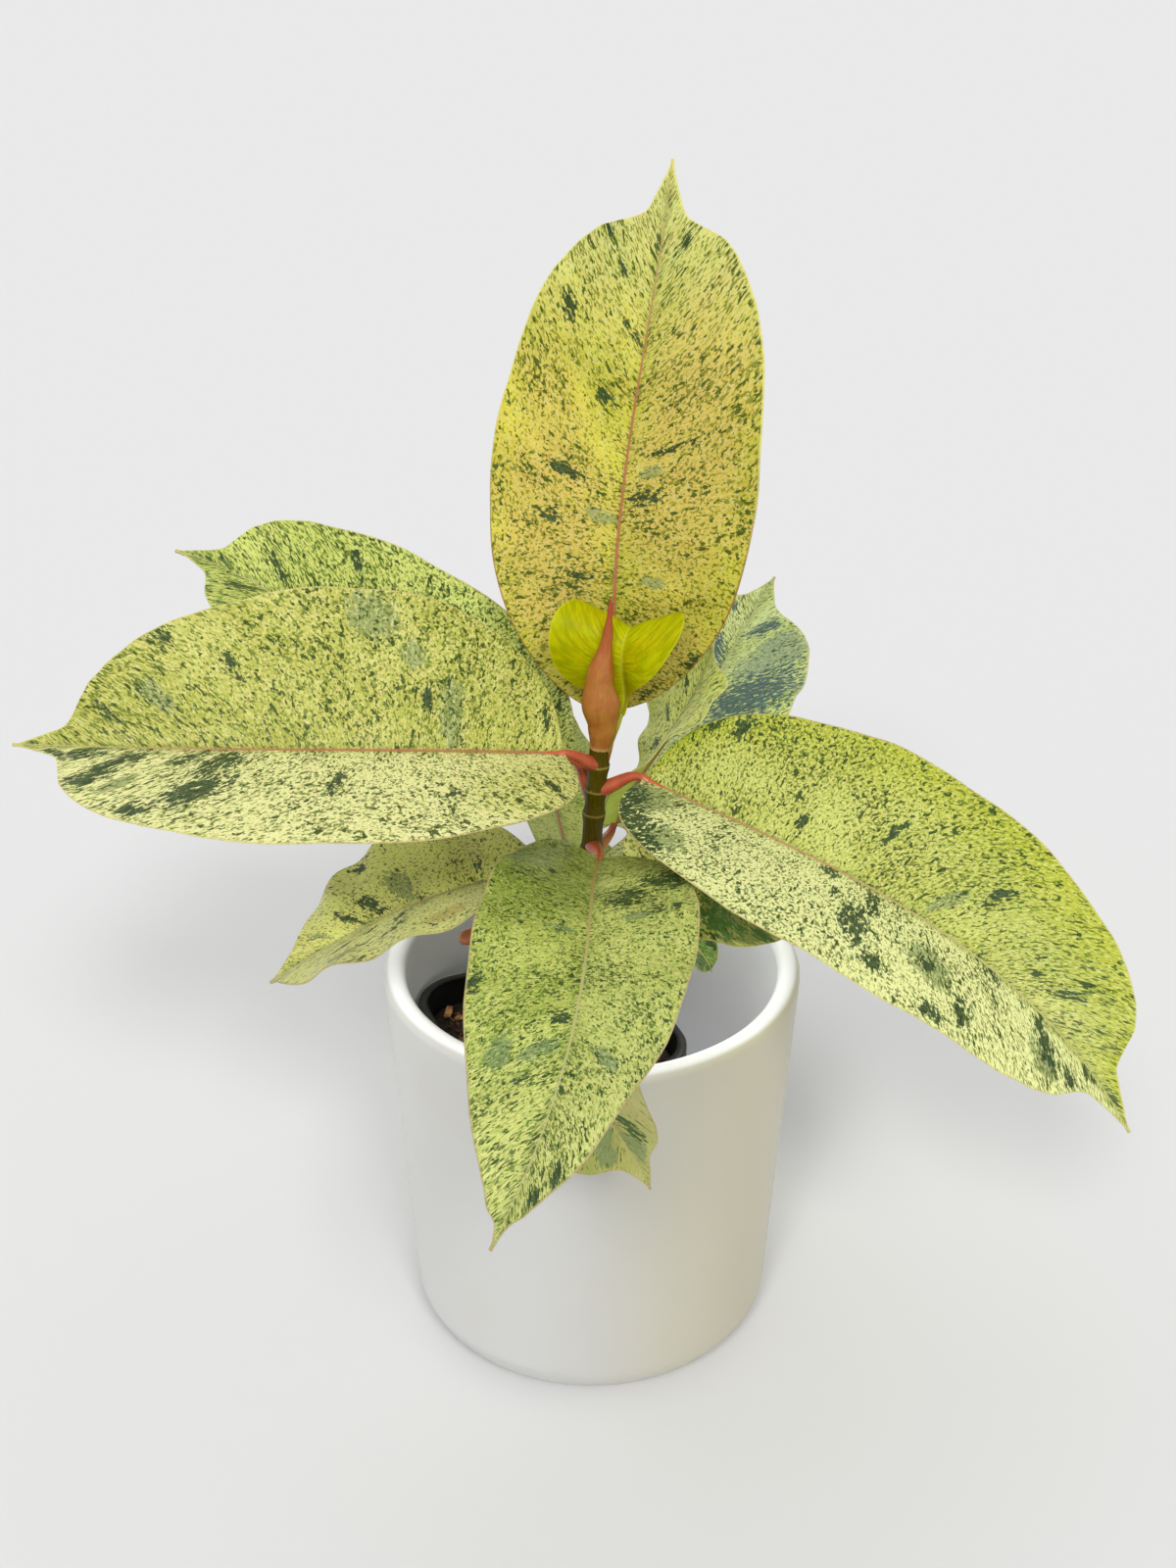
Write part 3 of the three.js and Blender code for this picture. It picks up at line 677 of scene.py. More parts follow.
# Where on the midrib the side vein through a point begins, in millimetres from the base.
# The side veins lean towards the tip more and more, so they are walked back in short steps.
def veinFoot(leaf, along, away):
    foot = along.copy()
    for _ in range(blade["leanSteps"]):
        share = foot / leaf["length"] - blade["leanFrom"]
        lean = blade["lean"] + blade["leanRise"] * share + blade["leanBend"] * share**2
        foot -= away / blade["leanSteps"] * lean
    return foot


# Soft patches, given one by one: the side of the midrib, then where its vein begins in per cent of the
# length, from and to in per cent of the half width, and its width in per cent of the length.
leafSpots = {
    "crown": {
        "dark": [
            (-1, 41, 3, 32, 1.1), (1, 41.5, 30, 60, 0.8), (1, 60, 60, 80, 1.4), (1, 26.5, 15, 36, 0.8),
            (1, 34.5, 42, 60, 0.8), (-1, 48, 15, 50, 0.7), (1, 67.5, 2, 20, 0.8), (1, 73.5, 25, 42, 0.8),
            (1, 74.5, 68, 95, 0.9), (-1, 80, 20, 50, 0.8), (-1, 5.5, 60, 86, 1.4), (-1, 14, 85, 100, 2.4),
            (1, 55, 10, 30, 0.8), (1, 85, 0, 7, 1.5),
        ],
        "grey": [(1, 37, 3, 27, 1.2), (-1, 27, 20, 45, 1), (-1, 45, 10, 30, 1)],
        "warm": [(-1, 45, 0, 90, 20), (-1, 10, 20, 100, 12), (1, 30, 10, 90, 20)],
    },
    "left": {
        "dark": [
            (1, 58.5, 3, 35, 2.4), (1, 55, 30, 75, 2.8), (1, 57, 75, 95, 1.8), (1, 64.5, 2, 25, 2),
            (1, 74, 2, 50, 2.6), (1, 71.5, 35, 95, 2.4), (1, 83, 0, 45, 3.6), (1, 87, 30, 100, 4.5),
            (-1, 57.2, 83, 97, 1.2), (-1, 52.5, 42, 66, 0.8), (-1, 25.5, 20, 42, 0.8),
            (-1, 76, 10, 60, 0.9), (-1, 4.5, 30, 62, 0.9), (1, 24, 50, 60, 1), (1, 39, 25, 50, 0.8),
            (1, 10, 50, 95, 0.9),
        ],
        "warm": [(1, 8, 20, 110, 14)],
        "grey": [
            (-1, 21.5, 2, 50, 2), (-1, 27.5, 50, 70, 1.8), (-1, 32.5, 66, 98, 3.4), (-1, 66, 25, 60, 2),
            (1, 66, 40, 75, 1.6),
        ],
    },
    "right": {
        "dark": [
            (-1, 3, 30, 110, 5), (-1, 9, 60, 110, 5), (-1, 14, 80, 110, 3.5), (-1, 36.5, 0, 12, 1.8),
            (-1, 38.5, 20, 32, 1), (-1, 41, 30, 60, 0.8), (-1, 43, 25, 72, 1.2), (-1, 45.5, 65, 80, 1.8),
            (-1, 44.5, 0, 30, 1.2), (-1, 53.5, 35, 50, 1.2), (-1, 53, 78, 95, 1.6), (-1, 58, 50, 85, 1.1),
            (-1, 66.5, 0, 12, 1.6), (-1, 76, 0, 60, 1.8), (-1, 80.5, 30, 85, 1.5), (-1, 88, 0, 30, 2),
            (1, 93, 0, 50, 2), (1, 28, 10, 28, 0.9), (1, 54.5, 38, 58, 0.8), (1, 39.5, 30, 55, 0.7),
            (1, 72.5, 20, 45, 0.8), (1, 13, 70, 100, 1.3), (1, 8.5, 80, 100, 1.2),
        ],
        "warm": [(1, 66, 20, 90, 14)],
        "grey": [
            (-1, 5.5, 3, 80, 5), (-1, 15, 55, 95, 3.5), (-1, 54, 25, 60, 3.5), (-1, 74.5, 30, 75, 3),
            (1, 52.5, 5, 35, 1.2),
        ],
    },
    "back_left": {
        "dark": [(-1, 54, 60, 80, 1.2), (-1, 72, 15, 50, 1.2), (1, 78, 5, 40, 1.4)],
        "grey": [(-1, 86.5, 5, 40, 2)],
    },
    "front": {
        "dark": [
            (1, 27.5, 16, 60, 3.4), (1, 23.5, 50, 100, 3.4), (1, 33, 50, 72, 1.4), (1, 33.5, 75, 87, 1.2),
            (-1, 50, 86, 100, 2), (-1, 59, 2, 22, 1.4), (-1, 69, 25, 50, 0.8), (1, 81.5, 50, 100, 1.8),
            (1, 87.5, 35, 100, 1.8), (1, 73, 0, 10, 1.2), (-1, 82.5, 0, 10, 1.2), (-1, 20, 40, 50, 0.8),
        ],
        "grey": [
            (-1, 62.5, 50, 80, 2.4), (-1, 38, 12, 36, 1), (1, 64, 25, 65, 1.2), (-1, 64.5, 8, 45, 1.4),
            (1, 34.5, 30, 60, 1.2),
        ],
        # This patch paints shade at the left of the leaf's base
        "warm": [(-1, 20, 0, 110, 17)],
    },
    "back_right": {
        "dark": [(1, 43, 0, 30, 2.5), (1, 53, 22, 45, 1.4), (1, 68, 10, 50, 1.2)],
    },
    "low_left": {
        "dark": [
            (-1, 54.5, 5, 45, 2), (-1, 62.5, 8, 40, 1.4), (-1, 23, 12, 42, 1), (-1, 47.5, 75, 95, 1.2),
            (-1, 18.5, 10, 22, 1.2), (1, 46, 10, 35, 1.2), (1, 43, 40, 60, 1), (1, 53, 20, 35, 1.4),
            (1, 56, 35, 60, 1.2),
        ],
        "grey": [(-1, 45, 5, 50, 3), (-1, 72, 10, 40, 1.6), (1, 50, 60, 90, 1.2)],
        "warm": [(1, 33, 50, 80, 4)],
    },
    "low_right": {
        "dark": [(-1, 46, 35, 85, 7), (-1, 60, 60, 95, 3), (1, 40, 20, 60, 5)],
        "grey": [(-1, 50, 10, 95, 12), (1, 60, 10, 50, 6)],
    },
    "far_right": {
        # These two patches paint light on the shaded base of the leaf
        "warm": [(-1, 10, 0, 110, 26), (1, 10, 0, 110, 26)],
        "dark": [
            (-1, 52, 0, 100, 8), (-1, 78, 10, 60, 3), (1, 69, 2, 60, 4.5), (1, 81, 30, 55, 1.2),
            (1, 38.5, 20, 40, 2), (-1, 30, 20, 90, 4),
        ],
        "grey": [(-1, 64, 15, 100, 6), (-1, 70, 30, 90, 3)],
    },
    "low_front": {
        "dark": [(1, 76, 12, 60, 3), (-1, 50, 30, 70, 3)],
        "grey": [(1, 84, 0, 75, 6), (-1, 78, 0, 70, 5), (1, 50, 20, 80, 6)],
    },
    "inner": {
        "dark": [(1, 50, 0, 80, 20), (-1, 60, 10, 90, 15)],
    },
}

# How strongly each point lies in one of the patches
def markField(marks, side, foot, far):
    strongest = np.zeros_like(far)
    for where, *percents in marks:
        at, near, away, width = (percent / 100 for percent in percents)
        reach = np.hypot((foot - at) / width, (far - (near + away) / 2) / ((away - near) / 2))
        strongest = np.maximum(strongest, np.where(side == where, clamped(1.5 - reach), 0))
    return strongest


def bladePiece(name, order):
    b = blade
    leaf = leafShapes[name]
    size = sizeOf(leaf)
    rows = int(leaf["length"] / b["rowStep"]) + b["moreRows"]
    shares = np.linspace(0, 1, rows)
    shares = shares - b["endRows"] * np.sin(math.tau * shares)
    middle = midrib(leaf, shares)[:, None, :]
    left, up = (axis[:, None, :] for axis in headings(leaf, shares)[1:])
    half = halfWidth(leaf, shares)[:, None]
    oneSide = np.concatenate([b["besideRib"], np.linspace(0.065, 0.97, 27), b["besideEdge"]])
    across = np.concatenate([-oneSide[:0:-1], oneSide])
    grid = np.ones((rows, len(across)))
    share, far, side = shares[:, None] * grid, np.abs(across) * grid, np.sign(across) * grid
    kept = np.where(across > 0, trimmed(leaf, share, 1), trimmed(leaf, share, -1))
    wide = np.maximum(half * kept, np.minimum(half, b["startHalf"]))
    x = wide * across
    away = np.abs(x)
    foot = veinFoot(leaf, share * leaf["length"], away)

    # The upper face: folded up at the midrib, arched, wavy at the edge, and lightly veined
    fold = math.radians(leaf["fold"])
    calm = np.minimum(1, half / b["calmHalf"])
    phase = order * b["phasePerLeaf"] + np.where(across > 0, b["phaseAcross"], 0)
    waveHeight, waveCount = leaf["wave"]
    wave = waveHeight * calm * far**2 * np.sin(math.tau * waveCount * share + phase)
    slim = size * mixed(1, 0.3, share**0.7)
    ridge = b["ribOver"] * slim * hump(away, b["ribOverHalf"] * slim)
    valley = -b["valley"] * size * calm * hump(away, b["valleyHalf"]) * (1 - share)
    veins = b["veinRelief"] * calm * np.cos(math.tau * foot / b["veinStep"]) * (1 - far**4)
    veins = veins * clamped(away / 6)
    swells = np.sin(foot * 0.21 + order * 2.1 + side) + 0.6 * np.sin(foot * 0.47 - away * 0.13 + order)
    ripple = b["ripple"] * calm * far * swells
    rise = wide * (far * math.sin(fold) - far**2 * b["arch"]) + wave + ridge + valley + veins + ripple
    top = middle + left * (x * math.cos(fold))[..., None] + up * rise[..., None]

    # The underside, with its raised midrib, and a row of points that rounds each edge
    thick = mixed(b["thick"], b["edgeThick"], far) * mixed(0.6, 1, size)
    rib = np.minimum(b["ribUnder"] * slim, half * 0.8) * hump(away, b["ribUnderHalf"] * slim)
    bottom = top - up * (thick + rib + ridge + valley)[..., None]
    edgeOut = left * np.array([-1, 1])[:, None] * b["edgeRound"] * size
    edge = (top[:, [0, -1]] + bottom[:, [0, -1]]) / 2 + edgeOut
    rings = np.concatenate([top, edge[:, 1:], bottom[:, ::-1], edge[:, :1]], axis=1) * mm

    def aroundRing(values):
        return np.concatenate([values, values[:, -1:], values[:, ::-1], values[:, :1]], axis=1)

    spots = leafSpots.get(name, {})
    marks = [markField(spots.get(kind, ()), side, foot / leaf["length"], far)
             for kind in ("dark", "grey", "warm")]
    atEdge = np.full((rows, 1), 0.5)
    seed = b["grainStep"] * (order + 1) * grid
    fields = {
        "grain": np.stack([aroundRing(x * mm), aroundRing(foot * mm), aroundRing(seed)], axis=-1),
        "place": np.stack([aroundRing(share), aroundRing((wide - away) * mm),
                           np.concatenate([0 * grid, atEdge, grid, atEdge], axis=1)], axis=-1),
        "marks": np.stack([aroundRing(mark) for mark in marks], axis=-1),
    }
    return ringBody("leaf_" + name, rings, fields)


leafTones = {
    "fleck": (92, 112, 24), "deepFleck": (46, 70, 14), "haze": (148, 156, 60), "light": (238, 236, 158),
    "dark": (38, 60, 24), "darkStreak": (74, 98, 62), "grey": (134, 148, 96),
    "under": (186, 192, 132), "underDark": (120, 138, 96), "stainAndPaintedLight": (190, 146, 70),
    "ribRed": (178, 108, 78), "ribPale": (192, 184, 126), "underRib": (206, 158, 112),
    "backlitGlowTone": (180, 186, 34),
}


def leafFinish(name, look):
    t = {**leafTones, **look}
    finish, start = newFinish("leaf_" + name)
    grain, place, marks = start.field("grain"), start.field("place"), start.field("marks")
    along, edge, under = place.part("X"), place.part("Y"), place.part("Z")
    away = abs(grain.part("X"))
    top = 1 - under.ease(0.3, 0.7)
    fibres = grain.stretch((160.0, 1500.0, 1.0)).cloud(1.0, 3.0)
    clouds = grain.stretch((1.0, 1.6, 1.0)).cloud(38.0, 4.0)
    patches = grain.stretch((0.6, 1.0, 1.0)).cloud(95.0, 3.0)
    mottle = grain.stretch((800.0, 1500.0, 1.0)).cloud(1.0, 3.0, 0.6, 0.2)

    # Pale ground, warmer in places, and lighter on one side of the midrib, where a sheen is painted
    ground = clouds.ease(0.3, 0.7).blend(t["pale"], t["green"])
    ground = ((patches * 0.45 + mottle * 0.55).ease(0.42, 0.62) * t["warmth"]).blend(ground, t["blush"])
    paintedSheenSide = (grain.part("X") * t["paintedSheenSide"]).ease(-0.001, 0.003)
    ground = (paintedSheenSide * t["paintedSheen"]).blend(ground, t["light"])
    ground = (along.ease(0.55, 0.95) * t["tipLight"]).blend(ground, t["light"])
    # The marked patches hold stains, and on some leaves painted light and painted shade
    ground = (marks.part("Z").ease(0.0, 1.0) * t["stainAndPaintedLightShare"]).blend(ground, t["stainAndPaintedLight"])
    # Painted backlight: a saturated yellow-green glow along the edge of one side
    backlitGlow = (grain.part("X") * t["backlitGlowSide"]).ease(0.0, 0.003) * (1 - edge.ease(0.003, 0.03))
    ground = (backlitGlow * 0.8).blend(ground, t["backlitGlowTone"])

    # Streaks along the side veins, and ragged grey-green patches under the flecks
    ground = (fibres.ease(0.38, 0.62) * t["veins"]).blend(ground, t["haze"])
    ragged = grain.stretch((380.0, 800.0, 1.0)).cloud(1.0, 4.0, 0.65, 0.3)
    greyMark = marks.part("Y")
    greyMask = (greyMark + (ragged - 0.5) * 2.8).ease(0.46, 0.58) * greyMark.ease(0.0, 0.2)
    ground = (greyMask * 0.8).blend(ground, t["grey"])

    # Fine mottling, then soft and crisp flecks that run along the side veins
    ground = (mottle.ease(0.48, 0.66) * 0.42 * t["speckle"]).blend(ground, t["light"])
    ground = ((1 - mottle).ease(0.5, 0.64) * 0.55 * t["speckle"]).blend(ground, t["haze"])
    crowd = patches * 0.2 + clouds * 0.12
    tiny = grain.flecks((0.0013 * t["dash"], 0.0009, 1.0), t["fineCut"] + 0.02 - crowd, 1.0)
    ground = (tiny * 0.8).blend(ground, t["fleck"])
    fine = grain.flecks((0.0021 * t["dash"], 0.0012, 1.0), t["fineCut"] + 0.065 - crowd)
    ground = (fine * 0.92).blend(ground, t["deepFleck"])
    bold = grain.flecks((0.0054 * t["dash"], 0.0022, 1.0), t["boldCut"] + 0.015 - crowd, 4.0)
    ground = (bold * 0.92).blend(ground, t["deepFleck"])

    # Dark patches, ragged and broken by the veins
    darkMark = marks.part("X")
    darkMask = (darkMark * 0.97 + (ragged - 0.5) * 4.9).ease(0.54, 0.6) * darkMark.ease(0.0, 0.2)
    inside = (fibres * 0.5 + mottle * 0.5).ease(0.44, 0.64).blend(t["dark"], t["darkStreak"])
    ground = (darkMask * 0.95).blend(ground, inside)

    fringe = (1 - away.ease(0.0006, 0.0035)) * fibres.ease(0.46, 0.56) * 0.5 * t["speckle"]
    ground = fringe.blend(ground, t["fleck"])
    margin = 1 - (edge + (clouds - 0.5) * 0.0004).ease(0.0002, 0.0008)
    marginTone = along.ease(0.25, 0.6).blend(t["marginBase"], t["margin"])
    ground = (margin * 0.75).blend(ground, marginTone)

    # The underside, paler and duller, but alike on both faces of the new leaf
    backing = (darkMask.most(greyMask) * 0.6).blend(t["under"], t["underDark"])
    if name == "new":
        backing = ground
    backing = (fibres.ease(0.3, 0.7) * 0.25).blend(backing, t["haze"])
    surface = top.blend(backing, ground)

    # Midrib, red at the base and pale towards the tip
    ribHalf = (1 - along) ** 0.7 * 0.0008 * t["ribWidth"] + 0.0001
    ribMask = 1 - (away / ribHalf).ease(0.75, 1.2)
    ribTone = (along + (clouds - 0.5) * 0.3).ease(t["ribFade"] - 0.3, t["ribFade"] + 0.25)
    surface = (ribMask * top * 0.85).blend(surface, ribTone.blend(t["ribRed"], t["ribPale"]))
    underRib = (1 - (away / (ribHalf * 2.0)).ease(0.7, 1.2)) * (1 - top)
    surface = (underRib * 0.9).blend(surface, ribTone.blend(t["ribRed"], t["underRib"]))

    closeFinish(start, {
        "Base Color": surface, "Roughness": clouds * 0.14 + (fine * -0.05 + 0.36),
        "Specular IOR Level": t["sheen"], "Normal": start.bump(fibres * 0.4 + mottle * 0.4, 0.16, 0.0004),
    })
    return finish


yellowLeaf = {"pale": (228, 220, 76), "green": (194, 190, 50), "blush": (214, 184, 84), "warmth": 0.7,
              "fleck": (112, 122, 20), "deepFleck": (62, 84, 12), "haze": (176, 170, 56)}
creamLeaf = {"pale": (216, 214, 116), "green": (192, 192, 80), "blush": (208, 196, 112), "warmth": 0.4}
greenLeaf = {"pale": (192, 204, 100), "green": (164, 178, 70), "blush": (194, 192, 100), "warmth": 0.3,
             "fleck": (76, 102, 28), "deepFleck": (42, 68, 20), "haze": (128, 148, 58)}
oliveLeaf = {"pale": (194, 194, 108), "green": (168, 172, 76), "blush": (194, 178, 100), "warmth": 0.6,
             "fleck": (92, 112, 36), "deepFleck": (58, 78, 30), "haze": (142, 152, 66)}
leafBasics = {
    "speckle": 1.0, "dash": 1.0, "fineCut": 0.7, "boldCut": 0.79, "ribWidth": 1.0, "ribFade": 0.6,
    "margin": (212, 204, 128), "marginBase": (196, 176, 116), "paintedSheenSide": 0.0, "paintedSheen": 0.0,
    "backlitGlowSide": 0.0, "tipLight": 0.0, "stainAndPaintedLightShare": 0.75, "sheen": 0.24, "veins": 0.0,
}
leafLooks = {
    "crown": {
        **yellowLeaf, "ribFade": 0.85, "margin": (232, 226, 130), "marginBase": (164, 104, 60),
        "tipLight": 0.5, "light": (216, 226, 160), "stainAndPaintedLight": (218, 176, 102), "stainAndPaintedLightShare": 0.5,
    },
    "left": {
        **creamLeaf, "ribFade": 0.8, "paintedSheenSide": 1.0, "paintedSheen": 0.9, "light": (242, 240, 168),
        "pale": (199, 200, 104), "green": (174, 176, 66), "stainAndPaintedLight": (206, 204, 112),
    },
    "right": {
        # The right leaf has a painted backlit glow along the edge of its far half
        **creamLeaf, "ribFade": 0.5, "ribWidth": 0.75, "ribRed": (180, 134, 92), "backlitGlowSide": 1.0,
        "paintedSheenSide": -1.0, "paintedSheen": 0.9, "light": (240, 243, 168), "pale": (202, 208, 108),
        "green": (180, 188, 76), "stainAndPaintedLight": (178, 188, 84),
    },
    "back_left": {**greenLeaf, "fineCut": 0.68, "pale": (212, 222, 116), "green": (188, 200, 88)},
    "front": {
        **greenLeaf, "dash": 0.75, "boldCut": 0.82, "ribFade": 0.4, "ribWidth": 0.8,
        "ribRed": (170, 146, 84), "pale": (188, 201, 98), "green": (160, 175, 70), "grey": (98, 126, 86),
        "margin": (186, 170, 116), "paintedSheenSide": 1.0, "paintedSheen": 0.15, "tipLight": 0.35,
        # the dark olive patch tone is painted shade at the base
        "stainAndPaintedLight": (118, 136, 44),
    },
    "back_right": {
        **greenLeaf, "fineCut": 0.73, "ribFade": 0.9, "ribRed": (160, 120, 70), "pale": (236, 244, 132),
        "green": (220, 232, 104), "under": (206, 224, 100), "underDark": (104, 132, 50),
    },
    "low_left": {
        **oliveLeaf, "ribFade": 0.5, "ribRed": (160, 136, 84), "margin": (180, 162, 110),
        "paintedSheenSide": 1.0, "paintedSheen": 0.6, "fineCut": 0.74, "pale": (244, 244, 146),
        "green": (236, 240, 124), "stainAndPaintedLight": (196, 170, 92),
    },
    "low_right": {
        **creamLeaf, "fineCut": 0.76, "dark": (86, 132, 58), "darkStreak": (126, 158, 104),
        "pale": (246, 248, 162), "green": (226, 232, 112),
    },
    "back": {**greenLeaf, "fineCut": 0.74, "boldCut": 0.84},
    "far_right": {
        **greenLeaf, "fineCut": 0.72, "dark": (60, 90, 86), "darkStreak": (104, 130, 126),
        "ribRed": (206, 212, 150), "grey": (142, 164, 136), "paintedSheenSide": 1.0, "paintedSheen": 0.3,
        # the pale patch tone is painted light for the shaded base of the leaf
        "pale": (220, 236, 158), "green": (202, 220, 130), "stainAndPaintedLight": (232, 246, 166),
    },
    "low_front": {
        **oliveLeaf, "speckle": 0.4, "fineCut": 0.8, "boldCut": 0.88, "dark": (60, 96, 36),
        "pale": (206, 206, 136), "green": (178, 184, 98), "margin": (186, 168, 120),
        "ribRed": (168, 176, 128), "grey": (126, 146, 96),
    },
    "inner": {**greenLeaf, "pale": (110, 150, 70), "green": (80, 126, 50)},
    "new": {
        "pale": (199, 205, 2), "green": (178, 184, 0), "blush": (188, 154, 6), "warmth": 0.6,
        "speckle": 0.0, "fineCut": 1.2, "boldCut": 1.2, "haze": (140, 146, 0), "sheen": 0.05,
        "veins": 0.6, "margin": (196, 196, 40), "marginBase": (190, 190, 30), "ribRed": (190, 192, 50),
        "ribPale": (186, 190, 40), "underRib": (196, 200, 60), "deepFleck": (140, 136, 16),
        "light": (198, 200, 40), "ribFade": 0.5,
    },
}

for order, name in enumerate(leafShapes):
    look = {**leafBasics, **leafLooks[name]}
    piece = bladePiece(name, order)
    settle(piece, leafFinish(name, look), "new_leaf" if name == "new" else "leaf", "blade_" + name)
print("leaves made")


# Stem, stalks and sheath

stem = {
    "line": [(-2, 1, 62), (-1.5, 0.5, 118), (-0.6, 0, 170), (0, 0, 208), (2.2, 0, 240), (2.8, 0, 249.6)],
    "footRadius": 4.7, "topRadius": 3.5, "ringSwell": 0.6, "ringLength": 2.4, "ringDrop": 1,
    "sides": 40, "rows": 260,
    "scars": (242.6, 232.5, 222.7, 208, 203, 197, 193, 186, 180, 173, 167),
    "scarHalf": 0.5, "scarProud": 0.22, "skinRadius": 0.004,
    "scar": (150, 132, 66), "low": (98, 72, 12), "high": (82, 72, 0), "streak": (54, 42, 2),
}
stalk = {
    "radius": 1.5, "footRadius": 3.3, "footShare": 0.9, "outPull": 0.4, "upPull": 0.1, "bladePull": 0.35,
    "rows": 48, "sides": 24, "tuck": 0.07, "tuckRows": 12, "tuckTaper": 0.75,
    "red": (200, 98, 58), "deep": (168, 62, 32), "pale": (206, 134, 76), "young": (182, 180, 40),
    "youngRadius": 0.8,
    "youngPath": [(2.8, 0, 246), (5.2, 0.9, 249.8), (7.3, 1.8, 253.8), (9.2, 2.7, 257.6)],
}
cutStalk = {
    "node": 186, "end": (-50, -8, 172), "footRadius": 3, "radius": 2.9, "bow": 3, "rows": 30,
    "endRound": (1.06, 0.95, 0.55), "red": (226, 120, 98), "deep": (204, 92, 72),
}
stemLine = smoothLine(stem["line"], stem["rows"])


def stemAt(height):
    return np.array([np.interp(height, stemLine[:, 2], stemLine[:, k]) for k in range(3)])


def stemPiece():
    heights = stemLine[:, 2]
    above = heights[:, None] - np.array(stem["scars"], float)
    swell = hump(above + stem["ringDrop"], stem["ringLength"]).max(axis=1)
    scar = hump(above, stem["scarHalf"]).max(axis=1)[:, None]
    share = (heights - heights[0]) / (heights[-1] - heights[0])
    radius = (mixed(stem["footRadius"], stem["topRadius"], share) + stem["ringSwell"] * swell)[:, None]
    turn = circle(stem["sides"])
    furrow = 0.1 * np.sin(7 * turn + heights[:, None] * 0.05) + 0.06 * np.sin(13 * turn + 1.3)
    rings = tubeRings(stemLine, radius + stem["scarProud"] * scar + furrow, stem["sides"])
    fields = tubeFields(stemLine * mm, stem["sides"], scar, stem["skinRadius"])
    return ringBody("stem", rings * mm, fields)


def stemFinish():
    finish, start = newFinish("stem")
    span, skin = start.field("span"), start.field("skin")
    fibre = skin.stretch((1500.0, 1500.0, 120.0)).cloud(1.0, 4.0)
    blush = skin.cloud(120.0, 3.0)
    body = (span.part("X") + (blush - 0.5) * 0.5).ease(0.35, 0.85).blend(stem["low"], stem["high"])
    body = (fibre.ease(0.45, 0.7) * 0.55).blend(body, stem["streak"])
    pores = skin.flecks((0.0012, 0.0012, 0.0022), 0.7)
    body = (pores * 0.6).blend(body, stem["scar"])
    colour = (span.part("Y").ease(0.2, 0.9) * 0.8).blend(body, stem["scar"])
    closeFinish(start, {
        "Base Color": colour, "Roughness": fibre * 0.2 + 0.34, "Specular IOR Level": 0.14,
        "Normal": start.bump(fibre, 0.35, 0.0005),
    })
    return finish


# Stalk from inside the stem to the blade, carried on along the underside of the midrib
def stalkLine(leaf):
    p = stalk
    start = stemAt(leaf["node"])
    base = np.array(leaf["base"], float)
    ahead = headings(leaf, np.zeros(1))[0][0]
    reach = np.linalg.norm(base - start)
    outward = (base - start) * (1, 1, 0)
    outward /= np.linalg.norm(outward)
    first = start + outward * p["outPull"] * reach + np.array([0, 0, p["upPull"] * reach])
    second = base - ahead * p["bladePull"] * reach
    t = np.linspace(0, 1, p["rows"])[:, None]
    bend = (1 - t) ** 3 * start + 3 * (1 - t) ** 2 * t * first + 3 * (1 - t) * t**2 * second + t**3 * base
    if leaf is leafShapes["new"]:
        bend = smoothLine([*p["youngPath"], base], p["rows"])
    radius = p["radius"] * math.sqrt(sizeOf(leaf))
    radii = mixed(p["footRadius"], radius, np.minimum(1, t[:, 0] / p["footShare"]))
    shares = np.linspace(0, p["tuck"], p["tuckRows"])[1:]
    up = headings(leaf, shares)[2]
    taper = 1 - shares / p["tuck"] * p["tuckTaper"]
    carried = midrib(leaf, shares) - up * (0.4 + radius * 0.5 * (shares / p["tuck"]))[:, None]
    return np.vstack([bend, carried]), np.concatenate([radii, radius * taper])


def stalkPiece(name, line, radii):
    lobed = 1 + 0.03 * np.sin(3 * circle(stalk["sides"]))
    rings = tubeRings(line, radii[:, None] * lobed, stalk["sides"])
    return ringBody(name, rings * mm, tubeFields(line * mm, stalk["sides"]))


def stalkFinish(name, red, deep):
    finish, start = newFinish(name)
    span = start.field("span")
    spot = start.spot()
    blush = spot.cloud(160.0, 3.0)
    body = (blush.ease(0.35, 0.7) * 0.6).blend(red, deep)
    body = ((span.part("X") + (blush - 0.5) * 0.4).ease(0.75, 1.0) * 0.6).blend(body, stalk["pale"])
    colour = ((1 - span.part("X").ease(0.1, 0.3)) * 0.5).blend(body, deep)
    closeFinish(start, {
        "Base Color": colour, "Roughness": blush * 0.14 + 0.3, "Specular IOR Level": 0.5,
        "Coat Weight": 0.4, "Coat Roughness": 0.15,
        "Normal": start.bump(spot.cloud(900.0, 2.0), 0.1, 0.0003),
    })
    return finish


settle(stemPiece(), stemFinish(), "stem", "stem")
stalkSkin = stalkFinish("stalk", stalk["red"], stalk["deep"])
youngSkin = stalkFinish("young_stalk", stalk["young"], stalk["young"])
for name, leaf in leafShapes.items():
    line, radii = stalkLine(leaf)
    isYoung = name == "new"
    piece = stalkPiece("stalk_" + name, line, radii * (stalk["youngRadius"] if isYoung else 1))
    settle(piece, youngSkin if isYoung else stalkSkin, "stalk", "petiole_" + name)

stubRun = np.linspace(0, 1, cutStalk["rows"])
stubLine = mixed(stemAt(cutStalk["node"]), np.array(cutStalk["end"], float), stubRun[:, None])
stubLine[:, 2] += cutStalk["bow"] * stubRun * (1 - stubRun)
stubRadii = mixed(cutStalk["footRadius"], cutStalk["radius"], np.minimum(1, stubRun * 2.5))
stubRadii[-3:] *= cutStalk["endRound"]
cutSkin = stalkFinish("cut_stalk", cutStalk["red"], cutStalk["deep"])
settle(stalkPiece("cut_stalk", stubLine, stubRadii), cutSkin, "stalk", "petiole_stub")
print("stem and stalks made")

